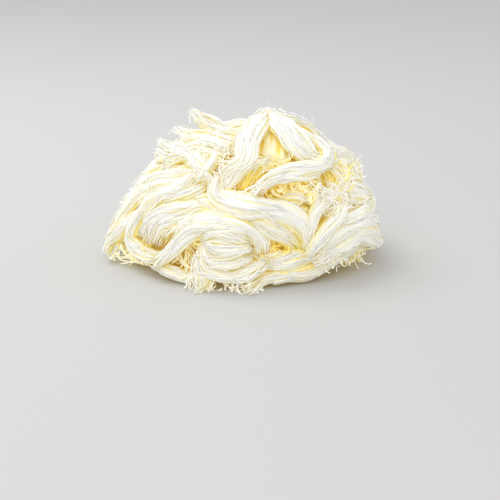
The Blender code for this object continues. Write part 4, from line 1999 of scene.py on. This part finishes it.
@dataclass(frozen=True)
class Fuzz:
    """Fine hairs that stand off the fibres.

    Attributes:
        seed: the seed of their random draws.
        count: how many there are.
        points: how many points each has.
        radius: half its thickness, in millimetres.
        tries: how many places are looked at for each.
        length: the length of the shortest and the longest, in millimetres.
        curl: how far they curl aside, as a share of their length.
    """

    seed: int = 47
    count: int = 700
    points: int = 5
    radius: float = 0.17
    tries: int = 6
    length: tuple[float, float] = (1.5, 5.0)
    curl: float = 0.35

    def strands(self, laid: list[Strands], shelter: Shelter) -> Strands:
        """Grows the hairs at the places that are the most open to the light.

        Args:
            laid: the fibres that they stand on.
            shelter: how hidden from the light each place is.

        Returns:
            The hairs.
        """
        chance = np.random.default_rng(self.seed)
        starts = np.concatenate([group.points[:, 1:-1].reshape(-1, 3) for group in laid])
        ways = np.concatenate([np.diff(group.points[:, 1:], axis=1).reshape(-1, 3) for group in laid])
        outs = np.concatenate([group.outward[:, 1:-1].reshape(-1, 3) for group in laid])
        picked = chance.integers(len(starts), size=self.count * self.tries)
        hidden = shelter.at(starts[picked], outs[picked]) + chance.uniform(0, 0.25, len(picked))
        picked = picked[np.argsort(hidden)[: self.count]]
        start, outward = starts[picked], outs[picked]
        way = unit(ways[picked]) * chance.choice((-1, 1), (self.count, 1))
        way = unit(way * chance.uniform(0.3, 1.2, (self.count, 1)) + chance.normal(0, 0.5, (self.count, 3)))
        length = chance.uniform(*self.length, (self.count, 1, 1))
        share = np.linspace(0, 1, self.points)[:, None]
        rise = chance.uniform(0.1, 0.6, (self.count, 1, 1))
        curl = chance.normal(0, self.curl, (self.count, 1, 3))
        line = start[:, None] + length * (
            share * way[:, None] + rise * share * (1.4 - share) * outward[:, None] + curl * share**2
        )
        radii = self.radius * chance.uniform(0.7, 1.4, (self.count, 1)) * (1 - 0.45 * share[:, 0])
        lift_off_floor(line, radii)
        outwards = np.broadcast_to(outward[:, None], line.shape)
        # The hairs are paler in tone and get a little less golden painted shade than their place gives them.
        tone = chance.normal(0.6, 0.3, self.count)
        return Strands(line, outwards, outwards, radii, 1.0, tone, np.full(self.count, -0.1))


@dataclass(frozen=True)
class Lamp:
    """A soft square light that faces the heap.

    Attributes:
        name: its name.
        place: where it is, in metres.
        size: its width, in metres.
        power: its power, in watts.
    """

    name: str
    place: Triple
    size: float
    power: float

    def build(self) -> None:
        """Makes the light."""
        data = bpy.data.lights.new(self.name, "AREA")
        data.size = self.size
        data.energy = self.power
        lamp = bpy.data.objects.new(self.name, data)
        lamp.location = self.place
        lamp.rotation_euler = (-Vector(self.place)).to_track_quat("-Z", "Y").to_euler()
        bpy.context.scene.collection.objects.link(lamp)


@dataclass(frozen=True)
class Studio:
    """The floor, the lights and the camera.

    Attributes:
        aim: what the camera looks at, in millimetres in the model's frame.
        elevation: how far the camera looks down, in degrees.
        distance: how far it is from there, in millimetres.
        lens: its focal length, in millimetres.
        sensor: its sensor's width, in millimetres.
        floor_colour: the floor's colour.
        floor_size: the floor's width, in metres.
        sky: how strong the light from all round is.
        lamps: the lights.
    """

    aim: Triple = (5.0, 4.2, 1.0)
    elevation: float = 17.8
    distance: float = 865.0
    lens: float = 102.0
    sensor: float = 36.0
    floor_colour: Colour = (0.56, 0.56, 0.555, 1.0)
    floor_size: float = 6.0
    sky: float = 0.89
    lamps: tuple[Lamp, ...] = (
        Lamp("key", place=(-0.45, 0.3, 0.9), size=0.6, power=4.2),
        Lamp("fill", place=(-0.2, -1.1, 0.6), size=0.9, power=4.0),
    )

    def build(self) -> None:
        """Sets the studio up."""
        self._camera()
        self._floor()
        self._world()
        for lamp in self.lamps:
            lamp.build()
        bpy.context.scene.view_settings.view_transform = "Standard"

    def _camera(self) -> None:
        """Makes the camera."""
        data = bpy.data.cameras.new("camera")
        data.lens = self.lens
        data.sensor_width = self.sensor
        data.clip_start = 0.05
        camera = bpy.data.objects.new("camera", data)
        tilt = math.radians(self.elevation)
        away = Vector((0, -math.cos(tilt), math.sin(tilt)))
        camera.location = (Vector(self.aim) + away * self.distance) * MM
        camera.rotation_euler = (-away).to_track_quat("-Z", "Y").to_euler()
        bpy.context.scene.collection.objects.link(camera)
        bpy.context.scene.camera = camera

    def _floor(self) -> None:
        """Makes the floor."""
        half = self.floor_size / 2
        mesh = bpy.data.meshes.new("floor")
        corners = [(-half, -half, 0), (half, -half, 0), (half, half, 0), (-half, half, 0)]
        mesh.from_pydata(corners, [], [(0, 1, 2, 3)])
        material = bpy.data.materials.new("floor")
        material.use_nodes = True
        shader = material.node_tree.nodes["Principled BSDF"]
        shader.inputs["Base Color"].default_value = self.floor_colour
        shader.inputs["Roughness"].default_value = 0.9
        shader.inputs["Specular IOR Level"].default_value = 0.1
        mesh.materials.append(material)
        floor = bpy.data.objects.new("floor", mesh)
        bpy.context.scene.collection.objects.link(floor)

    def _world(self) -> None:
        """Makes an even, pale light all round."""
        world = bpy.data.worlds.new("studio")
        world.use_nodes = True
        sky = world.node_tree.nodes["Background"]
        sky.inputs["Color"].default_value = (1.0, 1.0, 1.0, 1.0)
        sky.inputs["Strength"].default_value = self.sky
        bpy.context.scene.world = world


class Heap:
    """The whole heap, from its core out to its finest hairs."""

    def __init__(self, seed: int = 5) -> None:
        """Keeps the mound, the shelter and the source of random draws.

        Args:
            seed: the seed of the random draws.
        """
        self.mound = Mound()
        self.chance = np.random.default_rng(seed)
        self.shelter = Shelter()

    def _woven(self, hanks: Sequence[Hank], weave: Weave) -> tuple[list[Strands], ...]:
        """Weaves some hanks.

        Args:
            hanks: the hanks.
            weave: how they are made up.

        Returns:
            Their fibres, their lock bodies and their sheets.
        """
        woven = [hank.weave(self.mound, weave, self.chance) for hank in hanks]
        return tuple([parts[kind] for parts in woven] for kind in range(3))

    def _layers(self) -> dict[str, tuple[list[Strands], ...]]:
        """Weaves all the hanks, finer at the front than at the back, and finds where they shelter.

        Returns:
            The fibres, the lock bodies and the sheets of each group of hanks, by its name.
        """
        fine = Weave()
        plain = Weave(fibres=8, step=4.6, lock_step=6.0, fibre_radius=0.42)
        sparse = Weave(lock_width=3.2, lock_thickness=2.2, fibres=4, step=4.4, lock_step=5.0)
        woven = {name: self._woven(hanks, fine) for name, hanks in SHOWN.items()}
        woven |= {name: self._woven(hanks, plain) for name, hanks in Back().hanks().items()}
        woven[UNDER_LAYER] = self._woven(UnderLayer().hanks(), sparse)
        self.shelter.fill_mound(self.mound)
        for _, bodies, _ in woven.values():
            for strands in bodies:
                self.shelter.add(strands)
        self.shelter.settle()
        return woven

    def build(self) -> None:
        """Makes every piece of the heap."""
        woven = self._layers()
        finishes = FIBRE_FINISH, CURL_FINISH, LOCK_FINISH, CORE_FINISH
        painted_shade, grain = painted_shade_group(), grain_group()
        fibre, curl, lock, core = (finish.material(painted_shade, grain) for finish in finishes)
        maker = MeshMaker(self.mound, self.shelter)
        HeapCore().build(maker, core)
        for name, (fibres, bodies, sheets) in woven.items():
            front = name in SHOWN
            if name != UNDER_LAYER:
                maker.tubes(f"{name}_sheets", sheets, Cut.SHEET if front else Cut.BACK_SHEET, lock)
            maker.tubes(f"{name}_locks", bodies, Cut.LOCK, lock)
            maker.tubes(f"{name}_fibres", fibres, Cut.FIBRE if front else Cut.BACK_FIBRE, fibre)
        outer = [group for name, parts in woven.items() if name != UNDER_LAYER for group in parts[0]]
        surface = Surface.of_solid(self.mound)
        maker.tubes("loose_fibres", [LooseFibres().strands(surface, outer)], Cut.HAIR, fibre)
        maker.tubes("fuzz", [Fuzz().strands(outer, self.shelter)], Cut.HAIR, fibre)
        for name, patches in (("hollow_curls", HOLLOW_CURLS), ("pale_curls", PALE_CURLS)):
            strands = [patch.strands(self.mound, self.chance) for patch in patches]
            maker.tubes(name, strands, Cut.CURL, curl)


def main() -> None:
    """Builds the studio and the heap."""
    logging.basicConfig(level=logging.INFO, format="%(message)s")
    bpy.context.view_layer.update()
    Studio().build()
    Heap().build()


if __name__ == "__main__":
    main()
